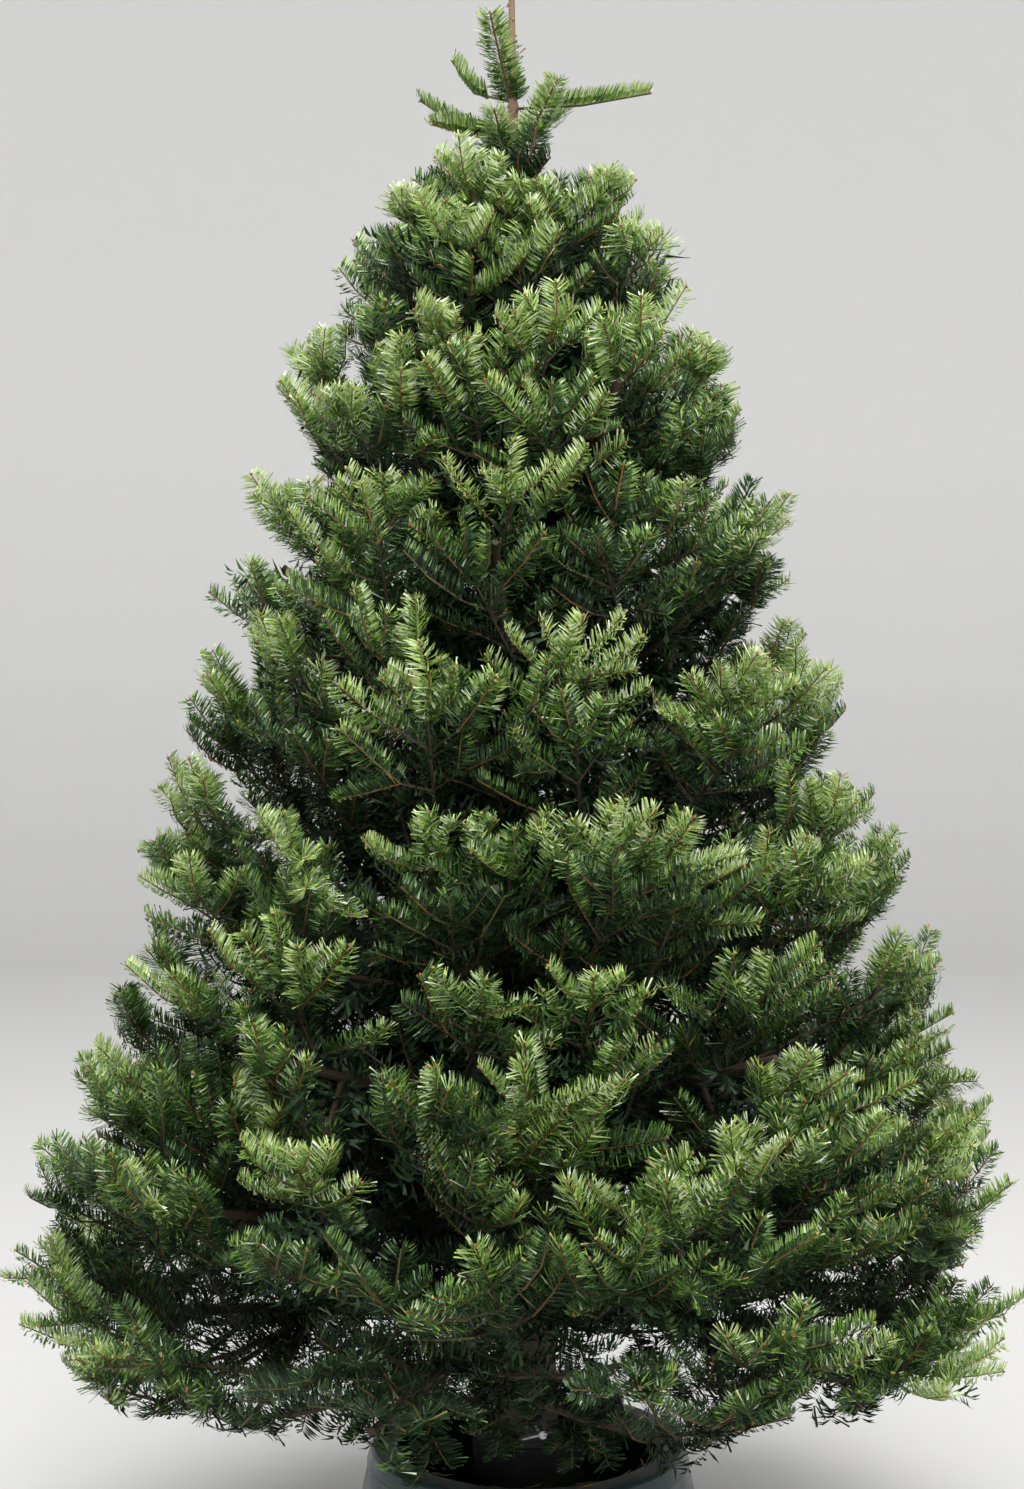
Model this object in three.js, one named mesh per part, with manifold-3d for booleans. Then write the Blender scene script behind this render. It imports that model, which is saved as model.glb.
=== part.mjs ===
// A cut fir, about 2.2 m tall and 1.3 m across, clamped upright in a round moulded stand.
// Millimetres, +Z up. The origin is the middle of the stand's flat underside, and the front is -Y.
// The crown is a cone of tiers. Each tier is shared out among a few masses of foliage, and each mass
// keeps to its own cell: a wedge round the trunk between two cones. In it one stem carries twigs, and
// each twig a spray, which is a flat blade cut into fingers as a fir's side shoots are. The low
// masses grow on from boughs, and the bare top carries single branches in two loose whorls.
import * as THREE from "three";
import { mergeVertices } from "three/addons/utils/BufferGeometryUtils.js";
import Module from "manifold-3d";

const wasm = await Module();
wasm.setup();
const { Manifold, Mesh: SolidMesh } = wasm;

const DEG = Math.PI / 180;
const UP = new THREE.Vector3(0, 0, 1);
const GAP = 0.3; // between solids that touch

// Stand
const FOOT_RADIUS = 244;
const RIM_RADIUS = 203;
const MOUTH_RADIUS = 170;
const STAND_HEIGHT = 200;
const WALL = 5;
const FLOOR = 8;
const LIP = 12; // depth of the rim's turned-in lip
const STAND_SEGMENTS = 32;
const COLLAR_INNER = 66;
const COLLAR_WALL = 6;
const COLLAR_TOP = 222;
const LUG_WIDTH = 30;
const LUG_TOP = 266;
const COLLAR_SEGMENTS = 16;
const BRACE_REACH = 138;
const BRACE_THICKNESS = 8;
const BRACE_HEIGHT = 120;
const SCREW_COUNT = 4;
const SCREW_AZIMUTH = 278;
const SCREW_HEIGHT = 248;
const SCREW_RADIUS = 5;
const SCREW_SIDES = 8;
const SCREW_END = 126;
const PAD_RADIUS = 9;
const PAD_THICKNESS = 4;
const BAR_RADIUS = 4;
const BAR_LENGTH = 62;
const BAR_TILT = 12;

// Trunk, from its flat cut on the stand's floor to the tip of the leader
const BUTT_HEIGHT = FLOOR + GAP;
const TREE_HEIGHT = 2160;
const BUTT_RADIUS = 46;
const WHORL_RADIUS = 7.5; // just under the topmost whorl
const TIP_RADIUS = 4;
const TOP_WHORL = 1936;
const FLARE = 0.14; // extra share of the radius at the cut
const FLARE_HEIGHT = 90;
const LEAN = -20; // how far the topmost whorl stands to -X of the butt
const TRUNK_SIDES = 10;
const TRUNK_RINGS = 12;

// Outline of the crown: height and radius, straight between them
const OUTLINE = [
  [235, 520],
  [410, 672],
  [600, 626],
  [1180, 432],
  [1400, 358],
  [1640, 290],
  [1760, 215],
  [1900, 125],
];
const SKIRT_TILT = 50; // how much higher the foot of the crown is at +X than at -X

// Tiers from the foot up: how many masses share one, where the first points, how many sprays stand side
// by side in each of a mass's two rows, how long they are, and whether the masses have boughs
const TIERS = [
  { masses: 5, azimuth: 180, columns: 4, length: 235, bough: true },
  { masses: 5, azimuth: 0, columns: 4, length: 235, bough: true },
  { masses: 5, azimuth: 18, columns: 3, length: 230, bough: false },
  { masses: 4, azimuth: 176, columns: 4, length: 215, bough: false },
  { masses: 4, azimuth: 40, columns: 3, length: 210, bough: false },
  { masses: 4, azimuth: 355, columns: 3, length: 200, bough: false },
  { masses: 3, azimuth: 178, columns: 4, length: 175, bough: false },
  { masses: 3, azimuth: 242, columns: 3, length: 160, bough: false },
];
const TIER_TIPS = [265, 470, 670, 870, 1070, 1270, 1470, 1665, 1872]; // heights of the parting cones' rims
const TIER_TILTS = [-8, 2, 10, 17, 24, 30, 36, 41, 43]; // and their slopes, in degrees
const ROW_SHARE = 0.44; // how far the two rows stand from the middle, towards the parting cones
const RISES = [28, 10]; // of the sprays over their tier's tilt, from the foot's tier to the top one's
const CELL_MARGIN = 2.5; // kept clear inside a cell's walls
const NUDGE = 9; // a step up or down for a spray that touches another
const STEM_UPTURN = 26;
const STEM_RADIUS = 10;
const STEM_TIP_RADIUS = 5;
const STEM_SIDES = 4;
const STEM_RINGS = 3;
const STEM_SHARE = 0.84; // of the way out to the crown's face
const BOUGH_SHARE = 0.4; // the same, for the boughs
const BOUGH_RADIUS = 13;
const BOUGH_SIDES = 6;
const TWIG_RADIUS = 3.6;
const FOOT_RATIO = 0.6; // of a twig's radius where it leaves the stem
const TWIG_ANGLE = 48; // at which a twig leaves its stem
const FIRST_TWIG = 24; // bare stretch at the foot of a stem
const TIP_SHARE = 1.04; // how far out the sprays' tips reach, of the way to the crown's face
const TIP_SPREAD = 0.09; // how much less some of them do
const INNER_SHARE = 0.66; // the same, for the sprays further in
const INNER_LEVEL = 0.15;
const INNER_RISE = 25;
const INNER_SIZE = 0.85;
const SPRAY_WIDTH = 1.1;
const INNER_WIDTH = 1.35;
const FRONT_PART = [236, 290]; // azimuths over the front of the stand: there the foot's tier has its
const FRONT_SHARE = 0.62; // low sprays nearer the trunk, so that the stand shows under the others

// The outline of a spray, one side, as shares of its length along and across
const FIVE_FINGERS = [
  [0.38, 0.42],
  [0.5, 0.2],
  [0.8, 0.35],
  [0.8, 0.13],
];
const THREE_FINGERS = [
  [0.62, 0.38],
  [0.6, 0.13],
];
const PALM = 0.44;
const SPRAY_THICKNESS = 0.3;
const FINGER_LIFT = 0.06;

// Branches above the tiers, each one shoot: height on the trunk, azimuth, tilt at the trunk and turn
// upwards along its length, in degrees, and length
const TOP_BRANCHES = [
  { height: 1938, azimuth: 244, tilt: 50, upturn: 12, length: 120 },
  { height: 1940, azimuth: 176, tilt: -2, upturn: 74, length: 100 },
  { height: 1932, azimuth: 2, tilt: 0, upturn: 14, length: 182 },
  { height: 1938, azimuth: 96, tilt: 30, upturn: 20, length: 124 },
  { height: 1898, azimuth: 160, tilt: 2, upturn: 44, length: 146 },
  { height: 1888, azimuth: 206, tilt: -2, upturn: 12, length: 118 },
  { height: 1864, azimuth: 304, tilt: 32, upturn: 14, length: 130 },
  { height: 1846, azimuth: 256, tilt: 20, upturn: 18, length: 116 },
  { height: 1884, azimuth: 44, tilt: 26, upturn: 18, length: 126 },
  { height: 1858, azimuth: 108, tilt: 16, upturn: 22, length: 124 },
];
const SHOOT_RADIUS = 4;
const BRUSH_RADIUS = 20; // out to the ends of the teeth that stand for a shoot's needles
const BRUSH_SWEEP = 14;
const TOOTH_PITCH = 38;
const BARE_SHARE = 0.27;
const FIN_ANGLES = [12, 90, 168];
const VALLEY_ANGLES = [51, 129, 270];

const BARK = new THREE.MeshStandardMaterial({ color: 0x5d4936, roughness: 0.9, metalness: 0 });
const NEEDLES = new THREE.MeshStandardMaterial({ color: 0x35562f, roughness: 0.6, metalness: 0 });
const GREEN_PLASTIC = new THREE.MeshStandardMaterial({ color: 0x12332f, roughness: 0.45, metalness: 0 });
const BLACK_PLASTIC = new THREE.MeshStandardMaterial({ color: 0x151a1a, roughness: 0.5, metalness: 0 });
const STEEL = new THREE.MeshStandardMaterial({ color: 0x8a8a92, roughness: 0.35, metalness: 1 });

// A repeatable number from 0 to 1 for three whole numbers
function chance(a, b, c) {
  let h = Math.imul(a + 1, 0x9e3779b1) ^ Math.imul(b + 1, 0x85ebca6b) ^ Math.imul(c + 1, 0xc2b2ae35);
  h = Math.imul(h ^ (h >>> 15), 0x2c1b3c6d);
  h = Math.imul(h ^ (h >>> 12), 0x297a2d39);
  return ((h ^ (h >>> 15)) >>> 0) / 2 ** 32;
}

// The same, spread evenly from -1 to 1
function swing(a, b, c) {
  return 2 * chance(a, b, c) - 1;
}

function solidOf(geometry) {
  const loose = geometry.index ? geometry.toNonIndexed() : geometry;
  const bare = new THREE.BufferGeometry().setAttribute("position", loose.getAttribute("position"));
  const merged = mergeVertices(bare, 1e-4);
  return new Manifold(
    new SolidMesh({
      numProp: 3,
      vertProperties: merged.attributes.position.array,
      triVerts: new Uint32Array(merged.index.array),
    }),
  );
}

// The largest body of a solid as a geometry, so that a scrap cut off by a neighbour is dropped
function geometryOf(solid) {
  const bodies = solid.decompose().sort((a, b) => b.volume() - a.volume());
  const mesh = bodies[0].getMesh();
  const geometry = new THREE.BufferGeometry();
  geometry.setAttribute("position", new THREE.BufferAttribute(new Float32Array(mesh.vertProperties), 3));
  geometry.setIndex(new THREE.BufferAttribute(new Uint32Array(mesh.triVerts), 1));
  geometry.computeVertexNormals();
  return geometry;
}

// A limb of round section along a path, with a radius at each point and flat ends. The rings of an
// upright one are level.
function limbGeometry(path, radii, sides) {
  const positions = [];
  path.forEach((point, i) => {
    const before = path[Math.max(i - 1, 0)];
    const after = path[Math.min(i + 1, path.length - 1)];
    const along = after.clone().sub(before).normalize();
    const across = new THREE.Vector3(0, 1, 0);
    if (Math.abs(along.z) < 0.95) across.crossVectors(UP, along).normalize();
    else along.copy(UP);
    const third = new THREE.Vector3().crossVectors(along, across);
    for (let k = 0; k < sides; k += 1) {
      const angle = (2 * Math.PI * (k + 0.5)) / sides;
      const rim = point.clone();
      rim.addScaledVector(across, radii[i] * Math.cos(angle));
      rim.addScaledVector(third, radii[i] * Math.sin(angle));
      positions.push(rim.x, rim.y, rim.z);
    }
  });
  return tubeGeometry(positions, sides);
}

// A closed tube from rings of points laid end to end
function tubeGeometry(positions, sides) {
  const last = positions.length / 3 - sides;
  const faces = [];
  for (let ring = 0; ring < last; ring += sides) {
    for (let k = 0; k < sides; k += 1) {
      const a = ring + k;
      const b = ring + ((k + 1) % sides);
      faces.push(a, b, b + sides, a, b + sides, a + sides);
    }
  }
  for (let k = 1; k < sides - 1; k += 1) {
    faces.push(0, k + 1, k, last, last + k, last + k + 1);
  }
  const geometry = new THREE.BufferGeometry();
  geometry.setAttribute("position", new THREE.BufferAttribute(new Float32Array(positions), 3));
  geometry.setIndex(faces);
  return geometry;
}

// A spray's points: its rim from one side of the twig's end round to the other, the palm's two
// faces, and the twig's three corners at the start. Its fingers' ends are lifted.
function sprayPoints(spray) {
  const { start, root, along, length, width, roll, fingers } = spray;
  const across = new THREE.Vector3().crossVectors(UP, along).normalize().applyAxisAngle(along, roll);
  const normal = new THREE.Vector3().crossVectors(along, across);
  const place = (u, v, lift) => {
    const p = root.clone().addScaledVector(along, u * length);
    return p.addScaledVector(across, v * length * width).addScaledVector(normal, lift * length);
  };
  const neck = TWIG_RADIUS / length;
  const outline = [...fingers, [1, 0], ...fingers.map(([u, v]) => [u, -v]).reverse()];
  const rim = outline.map(([u, v]) => place(u, v, FINGER_LIFT * ((u - PALM) ** 2 + 4 * v * v)));
  rim.unshift(place(0, neck / width, neck / 2));
  rim.push(place(0, -neck / width, neck / 2));
  const palm = [
    place(PALM, 0, SPRAY_THICKNESS / 2),
    place(PALM, 0, -SPRAY_THICKNESS / 2),
    place(0, 0, -neck),
  ];
  const twig = root.clone().sub(start).normalize();
  const side = across.clone().addScaledVector(twig, -across.dot(twig)).normalize();
  const top = new THREE.Vector3().crossVectors(twig, side);
  const foot = [
    [1, 0.5],
    [-1, 0.5],
    [0, -1],
  ].map(([v, w]) => {
    const p = start.clone().addScaledVector(side, FOOT_RATIO * TWIG_RADIUS * v);
    return p.addScaledVector(top, FOOT_RATIO * TWIG_RADIUS * w);
  });
  return { rim, palm, foot };
}

function sprayGeometry(spray) {
  const { rim, palm, foot } = sprayPoints(spray);
  const n = rim.length;
  const [over, under, neck, left, right, keel] = [n, n + 1, n + 2, n + 3, n + 4, n + 5];
  const faces = [over, 0, n - 1, under, neck, 0, under, n - 1, neck];
  for (let i = 0; i < n - 1; i += 1) {
    faces.push(i + 1, i, over, i, i + 1, under);
  }
  faces.push(left, n - 1, 0, left, right, n - 1, right, neck, n - 1, right, keel, neck);
  faces.push(keel, 0, neck, keel, left, 0, left, keel, right);
  const points = [...rim, ...palm, ...foot].flatMap((p) => [p.x, p.y, p.z]);
  const geometry = new THREE.BufferGeometry();
  geometry.setAttribute("position", new THREE.BufferAttribute(new Float32Array(points), 3));
  geometry.setIndex(faces);
  return geometry;
}

// Trunk
function trunkRadius(z) {
  const share = (z - BUTT_HEIGHT) / (TOP_WHORL - BUTT_HEIGHT);
  if (share > 1) {
    return THREE.MathUtils.lerp(WHORL_RADIUS - 1.5, TIP_RADIUS, (z - TOP_WHORL) / (TREE_HEIGHT - TOP_WHORL));
  }
  const taper = THREE.MathUtils.lerp(BUTT_RADIUS, WHORL_RADIUS, share ** 0.9);
  return taper * (1 + FLARE * Math.exp(-(z - BUTT_HEIGHT) / FLARE_HEIGHT));
}

function trunkAxis(z) {
  const share = (z - BUTT_HEIGHT) / (TOP_WHORL - BUTT_HEIGHT);
  return new THREE.Vector3(LEAN * share, 0, z);
}

function trunkGeometry(clearance) {
  const heights = [BUTT_HEIGHT, BUTT_HEIGHT + FLARE_HEIGHT];
  for (let i = 1; i <= TRUNK_RINGS; i += 1) {
    heights.push(THREE.MathUtils.lerp(heights[1], TOP_WHORL, i / TRUNK_RINGS));
  }
  heights.push(TOP_WHORL + 12, TREE_HEIGHT);
  const radii = heights.map((z) => trunkRadius(z) + clearance / Math.cos(Math.PI / TRUNK_SIDES));
  return limbGeometry(heights.map(trunkAxis), radii, TRUNK_SIDES);
}

// Foliage
function crownRadius(z) {
  const i = THREE.MathUtils.clamp(OUTLINE.filter(([height]) => height < z).length, 1, OUTLINE.length - 1);
  const [[z0, r0], [z1, r1]] = [OUTLINE[i - 1], OUTLINE[i]];
  return Math.max(THREE.MathUtils.mapLinear(z, z0, z1, r0, r1), 20);
}

// The cone that parts two tiers: its height on the axis and its slope
function partingCone(i) {
  const slope = Math.tan(TIER_TILTS[i] * DEG);
  return { height: TIER_TIPS[i] - crownRadius(TIER_TIPS[i]) * slope, slope };
}

function coneHeight(cone, r) {
  return cone.height + cone.slope * r;
}

// The cell of one mass, with its middle cone
function cellOf(tierIndex, k) {
  const tier = TIERS[tierIndex];
  const azimuth = tier.azimuth + (360 / tier.masses) * k;
  const low = partingCone(tierIndex);
  const high = partingCone(tierIndex + 1);
  if (tierIndex === 0) low.height += (SKIRT_TILT / 2) * (1 + Math.cos(azimuth * DEG));
  const middle = { height: (low.height + high.height) / 2, slope: (low.slope + high.slope) / 2 };
  return { low, high, middle, azimuth, half: 180 / tier.masses };
}

function inCell(cell, p) {
  const axis = trunkAxis(p.z);
  const r = Math.hypot(p.x - axis.x, p.y - axis.y);
  const turn = Math.atan2(p.y - axis.y, p.x - axis.x) / DEG - cell.azimuth;
  const off = Math.abs(((turn % 360) + 540) % 360 - 180);
  const toSide = off < cell.half ? r * Math.sin(Math.min(cell.half - off, 90) * DEG) : -1;
  const toLow = p.z - coneHeight(cell.low, r);
  const toHigh = coneHeight(cell.high, r) - p.z;
  return Math.min(toSide, toLow, toHigh) > CELL_MARGIN;
}

function polar(azimuth, r, z) {
  const p = trunkAxis(z);
  p.x += r * Math.cos(azimuth * DEG);
  p.y += r * Math.sin(azimuth * DEG);
  return p;
}

// Where a line at this azimuth and height off the middle cone meets a share of the crown's face
function faceRadius(cell, offset, share) {
  let r = 300;
  for (let i = 0; i < 12; i += 1) {
    r = share * crownRadius(coneHeight(cell.middle, r) + offset);
  }
  return r;
}

// A point on the stem, r from the trunk's axis. It turns up towards the tip.
function stemPoint(cell, reach, r) {
  return polar(cell.azimuth, r, coneHeight(cell.middle, r) + STEM_UPTURN * ((r / reach) ** 2 - 0.5));
}

function directionOf(azimuth, tilt) {
  const direction = new THREE.Vector3(Math.cos(azimuth * DEG), Math.sin(azimuth * DEG), 0);
  return direction.multiplyScalar(Math.cos(tilt * DEG)).setZ(Math.sin(tilt * DEG));
}

// The sprays of one mass: two rows near the crown's face, one at the stem's tip where no other has
// that place, and one or two further in
function spraysOf(tierIndex, k) {
  const tier = TIERS[tierIndex];
  const cell = cellOf(tierIndex, k);
  const seed = 10 * tierIndex + k;
  const tilt = Math.atan(cell.middle.slope) / DEG;
  const reach = faceRadius(cell, 0, 1);
  const { columns } = tier;
  const sprays = [];
  const room = (coneHeight(cell.high, reach) - coneHeight(cell.low, reach)) / 2;
  const rise = THREE.MathUtils.lerp(RISES[0], RISES[1], tierIndex / (TIERS.length - 1));
  const add = (azimuth, level, wantedShare, length, id, extra = 0) => {
    const lifted = tierIndex === 0 && level <= 0 && azimuth > FRONT_PART[0] && azimuth < FRONT_PART[1];
    const share = lifted ? Math.min(wantedShare, FRONT_SHARE) : wantedShare;
    const turn = rise + extra + 6 * swing(seed, id, 3);
    const offset = level * room + 0.5 * length * Math.sin(turn * DEG);
    const r = faceRadius(cell, offset, share);
    const tip = polar(azimuth, r, coneHeight(cell.middle, r) + offset);
    const along = directionOf(azimuth, tilt + turn);
    const root = tip.clone().addScaledVector(along, -length);
    const roll = 0.2 * swing(seed, id, 4);
    const outer = share > INNER_SHARE;
    const width = outer ? SPRAY_WIDTH : INNER_WIDTH;
    sprays.push({ root, along, length, width, roll, fingers: outer ? FIVE_FINGERS : THREE_FINGERS });
  };
  for (let row = 0; row < 2; row += 1) {
    for (let c = 0; c < columns; c += 1) {
      const id = 20 * row + c;
      const across = ((c + 0.5 + 0.18 * swing(seed, id, 0)) / columns) * 2 - 1;
      const level = ROW_SHARE * (2 * row - 1) + 0.06 * swing(seed, id, 1);
      const share = TIP_SHARE - TIP_SPREAD * chance(seed, id, 2);
      const length = tier.length * (1 + 0.1 * swing(seed, id, 5));
      add(cell.azimuth + across * cell.half * 0.95, level, share, length, id);
    }
  }
  if (columns % 2 === 0) add(cell.azimuth, 0, TIP_SHARE - 0.01, tier.length, 80);
  const inner = Math.min(columns - 1, 2);
  for (let c = 0; c < inner; c += 1) {
    const azimuth = cell.azimuth + (((c + 0.5) / inner) * 2 - 1) * cell.half * 0.8;
    const level = INNER_LEVEL * (c % 2 === 0 ? 1 : -1);
    add(azimuth, level, INNER_SHARE, tier.length * INNER_SIZE, 60 + c, INNER_RISE);
  }
  return { cell, reach, sprays };
}

// Where on the stem the twig to this root starts, so that it leaves at TWIG_ANGLE
function twigStart(cell, reach, first, root) {
  const axis = trunkAxis(root.z);
  const turn = Math.atan2(root.y - axis.y, root.x - axis.x) - cell.azimuth * DEG;
  const r = Math.hypot(root.x - axis.x, root.y - axis.y);
  const side = Math.abs(r * Math.sin(turn));
  const out = r * Math.cos(turn) - side / Math.tan(TWIG_ANGLE * DEG);
  return stemPoint(cell, reach, THREE.MathUtils.clamp(out - 20, first, reach * (STEM_SHARE + 0.02)));
}

// The spray with its twig, moved a little or made smaller until it keeps to its cell and, outside the
// stem, clear of the sprays already there. It is null where there is no room.
function fitted(cell, reach, first, wanted, taken) {
  for (const scale of [1, 0.9, 0.8, 0.7, 0.6, 0.5]) {
    for (const nudge of [0, 1, -1, 2, -2, 3, -3]) {
      const spray = { ...wanted, length: wanted.length * scale, roll: wanted.roll + 0.06 * nudge };
      spray.root = wanted.root.clone().addScaledVector(wanted.along, wanted.length - spray.length);
      spray.root.z += NUDGE * nudge;
      spray.start = twigStart(cell, reach, first, spray.root);
      const { rim, palm } = sprayPoints(spray);
      const middles = rim.map((p, i) => p.clone().lerp(rim[(i + 1) % rim.length], 0.5));
      const twig = [0.3, 0.6, 0.85].map((share) => spray.start.clone().lerp(spray.root, share));
      if (![...rim, ...palm, ...middles, ...twig].every((p) => inCell(cell, p))) continue;
      const outward = spray.root.clone().sub(spray.start).setLength(STEM_RADIUS + 1);
      const clear = solidOf(sprayGeometry({ ...spray, start: spray.start.clone().add(outward) }));
      if (taken.every((other) => other.clear.intersect(clear).isEmpty())) {
        return { solid: solidOf(sprayGeometry(spray)), clear };
      }
    }
  }
  return null;
}

const trunkClear = solidOf(trunkGeometry(GAP + 0.05));

function growMass(tierIndex, k) {
  const tier = TIERS[tierIndex];
  const { cell, reach, sprays } = spraysOf(tierIndex, k);
  const boughEnd = reach * BOUGH_SHARE;
  const first = tier.bough ? boughEnd + 1.5 * GAP : 0;
  const path = [];
  const radii = [];
  for (let i = 0; i <= STEM_RINGS; i += 1) {
    path.push(stemPoint(cell, reach, THREE.MathUtils.lerp(first, reach * STEM_SHARE, i / STEM_RINGS)));
    radii.push(THREE.MathUtils.lerp(STEM_RADIUS, STEM_TIP_RADIUS, i / STEM_RINGS));
  }
  const taken = [];
  for (const wanted of sprays) {
    const spray = fitted(cell, reach, first + FIRST_TWIG, wanted, taken);
    if (spray) taken.push(spray);
  }
  const stem = solidOf(limbGeometry(path, radii, STEM_SIDES));
  return geometryOf(Manifold.union([stem, ...taken.map((spray) => spray.solid)]).subtract(trunkClear));
}

function boughGeometry(tierIndex, k) {
  const { cell, reach } = spraysOf(tierIndex, k);
  const path = [];
  const radii = [];
  for (let i = 0; i <= 3; i += 1) {
    path.push(stemPoint(cell, reach, (reach * BOUGH_SHARE * i) / 3));
    radii.push(THREE.MathUtils.lerp(BOUGH_RADIUS, STEM_RADIUS + 0.5, i / 3));
  }
  return geometryOf(solidOf(limbGeometry(path, radii, BOUGH_SIDES)).subtract(trunkClear));
}

// A branch of the top whorls: one shoot with three rows of teeth, two at its sides and one above
function topBranchGeometry(branch) {
  const path = [trunkAxis(branch.height)];
  for (let i = 0; i < STEM_RINGS; i += 1) {
    const heading = directionOf(branch.azimuth, branch.tilt + (branch.upturn * (i + 0.5)) / STEM_RINGS);
    path.push(path[i].clone().addScaledVector(heading, branch.length / STEM_RINGS));
  }
  const curve = new THREE.CatmullRomCurve3(path);
  const teeth = Math.round(branch.length / TOOTH_PITCH);
  const angles = FIN_ANGLES.flatMap((angle, i) => [angle, VALLEY_ANGLES[i]]);
  const positions = [];
  for (let i = 0; i <= 2 * teeth; i += 1) {
    const share = i / (2 * teeth);
    const centre = curve.getPointAt(share);
    const along = curve.getTangentAt(share);
    const across = new THREE.Vector3().crossVectors(UP, along).normalize();
    const above = new THREE.Vector3().crossVectors(along, across);
    const shaft = THREE.MathUtils.lerp(SHOOT_RADIUS, 2, share);
    angles.forEach((angle, k) => {
      const tooth = k % 2 === 0 && i % 2 === 1 && share > BARE_SHARE;
      const valley = k % 2 === 0 && i % 2 === 0 && share > BARE_SHARE && share < 1;
      const reach = tooth ? BRUSH_RADIUS : valley ? 0.5 * BRUSH_RADIUS : shaft;
      const p = centre.clone().addScaledVector(across, reach * Math.cos(angle * DEG));
      p.addScaledVector(above, reach * Math.sin(angle * DEG));
      if (tooth) p.addScaledVector(along, BRUSH_SWEEP);
      positions.push(p.x, p.y, p.z);
    });
  }
  const shoot = solidOf(tubeGeometry(positions, angles.length));
  return geometryOf(shoot.subtract(trunkClear));
}

// Stand
function latheSolid(profile, segments) {
  const points = profile.map(([r, z]) => new THREE.Vector2(r, z));
  return solidOf(new THREE.LatheGeometry(points, segments).rotateX(Math.PI / 2));
}

function bowlGeometry() {
  const draw = (FOOT_RADIUS - RIM_RADIUS) / STAND_HEIGHT;
  const outer = (z) => FOOT_RADIUS - draw * z;
  const profile = [
    [0, 0],
    [outer(0), 0],
    [outer(0), 6],
    [outer(6) - 3, 9],
    [outer(STAND_HEIGHT - 4), STAND_HEIGHT - 4],
    [outer(STAND_HEIGHT) - 3, STAND_HEIGHT],
    [MOUTH_RADIUS, STAND_HEIGHT],
    [MOUTH_RADIUS - 2, STAND_HEIGHT - LIP],
    [MOUTH_RADIUS + 2, STAND_HEIGHT - LIP],
    [MOUTH_RADIUS + 4, STAND_HEIGHT - WALL],
    [outer(STAND_HEIGHT - WALL) - WALL, STAND_HEIGHT - WALL],
    [outer(FLOOR) - WALL - 3, FLOOR],
    [0, FLOOR],
  ];
  return geometryOf(latheSolid(profile, STAND_SEGMENTS));
}

function screwAzimuth(k) {
  return SCREW_AZIMUTH + (360 / SCREW_COUNT) * k;
}

function turned(geometry, azimuth) {
  return geometry.rotateZ(azimuth * DEG);
}

function collarGeometry() {
  const bottom = FLOOR + GAP;
  const outer = COLLAR_INNER + COLLAR_WALL;
  const profile = [
    [COLLAR_INNER, bottom],
    [outer, bottom],
    [outer, COLLAR_TOP],
    [COLLAR_INNER, COLLAR_TOP],
    [COLLAR_INNER, bottom],
  ];
  let solid = latheSolid(profile, COLLAR_SEGMENTS);
  for (let k = 0; k < SCREW_COUNT; k += 1) {
    const side = new THREE.Shape();
    side.moveTo(outer - 3, bottom);
    side.lineTo(BRACE_REACH, bottom);
    side.lineTo(BRACE_REACH, bottom + 14);
    side.lineTo(outer - 3, bottom + BRACE_HEIGHT);
    const brace = new THREE.ExtrudeGeometry(side, { depth: BRACE_THICKNESS, bevelEnabled: false });
    brace.translate(0, 0, -BRACE_THICKNESS / 2).rotateX(Math.PI / 2);
    solid = solid.add(solidOf(turned(brace, screwAzimuth(k) + 45)));
    const lug = new THREE.BoxGeometry(COLLAR_WALL, LUG_WIDTH, LUG_TOP - COLLAR_TOP + 12);
    lug.translate(COLLAR_INNER + COLLAR_WALL / 2, 0, (LUG_TOP + COLLAR_TOP - 12) / 2);
    solid = solid.add(solidOf(turned(lug, screwAzimuth(k))));
    const hole = new THREE.CylinderGeometry(SCREW_RADIUS + 0.6, SCREW_RADIUS + 0.6, 60, SCREW_SIDES);
    hole.rotateZ(Math.PI / 2).translate(COLLAR_INNER, 0, SCREW_HEIGHT);
    solid = solid.subtract(solidOf(turned(hole, screwAzimuth(k))));
  }
  return geometryOf(solid);
}

// A clamp screw: a round pad against the trunk, a rod through the collar's lug and a cross bar
function screwGeometry(k) {
  const direction = directionOf(screwAzimuth(k), 0);
  const start = trunkAxis(SCREW_HEIGHT).dot(direction) + trunkRadius(SCREW_HEIGHT) + GAP;
  const profile = [
    [0, start],
    [PAD_RADIUS, start],
    [PAD_RADIUS, start + PAD_THICKNESS],
    [SCREW_RADIUS, start + PAD_THICKNESS],
    [SCREW_RADIUS, SCREW_END],
    [0, SCREW_END],
  ];
  const points = profile.map(([r, y]) => new THREE.Vector2(r, y));
  const rod = new THREE.LatheGeometry(points, SCREW_SIDES);
  rod.rotateZ(-Math.PI / 2).translate(0, 0, SCREW_HEIGHT);
  const bar = new THREE.CylinderGeometry(BAR_RADIUS, BAR_RADIUS, BAR_LENGTH, 6);
  bar.rotateX(BAR_TILT * DEG).translate(SCREW_END - 6, 0, SCREW_HEIGHT);
  return geometryOf(solidOf(turned(rod, screwAzimuth(k))).add(solidOf(turned(bar, screwAzimuth(k)))));
}

const tree = new THREE.Group();

function add(name, geometry, material) {
  const mesh = new THREE.Mesh(geometry, material);
  mesh.name = name;
  tree.add(mesh);
}

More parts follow.
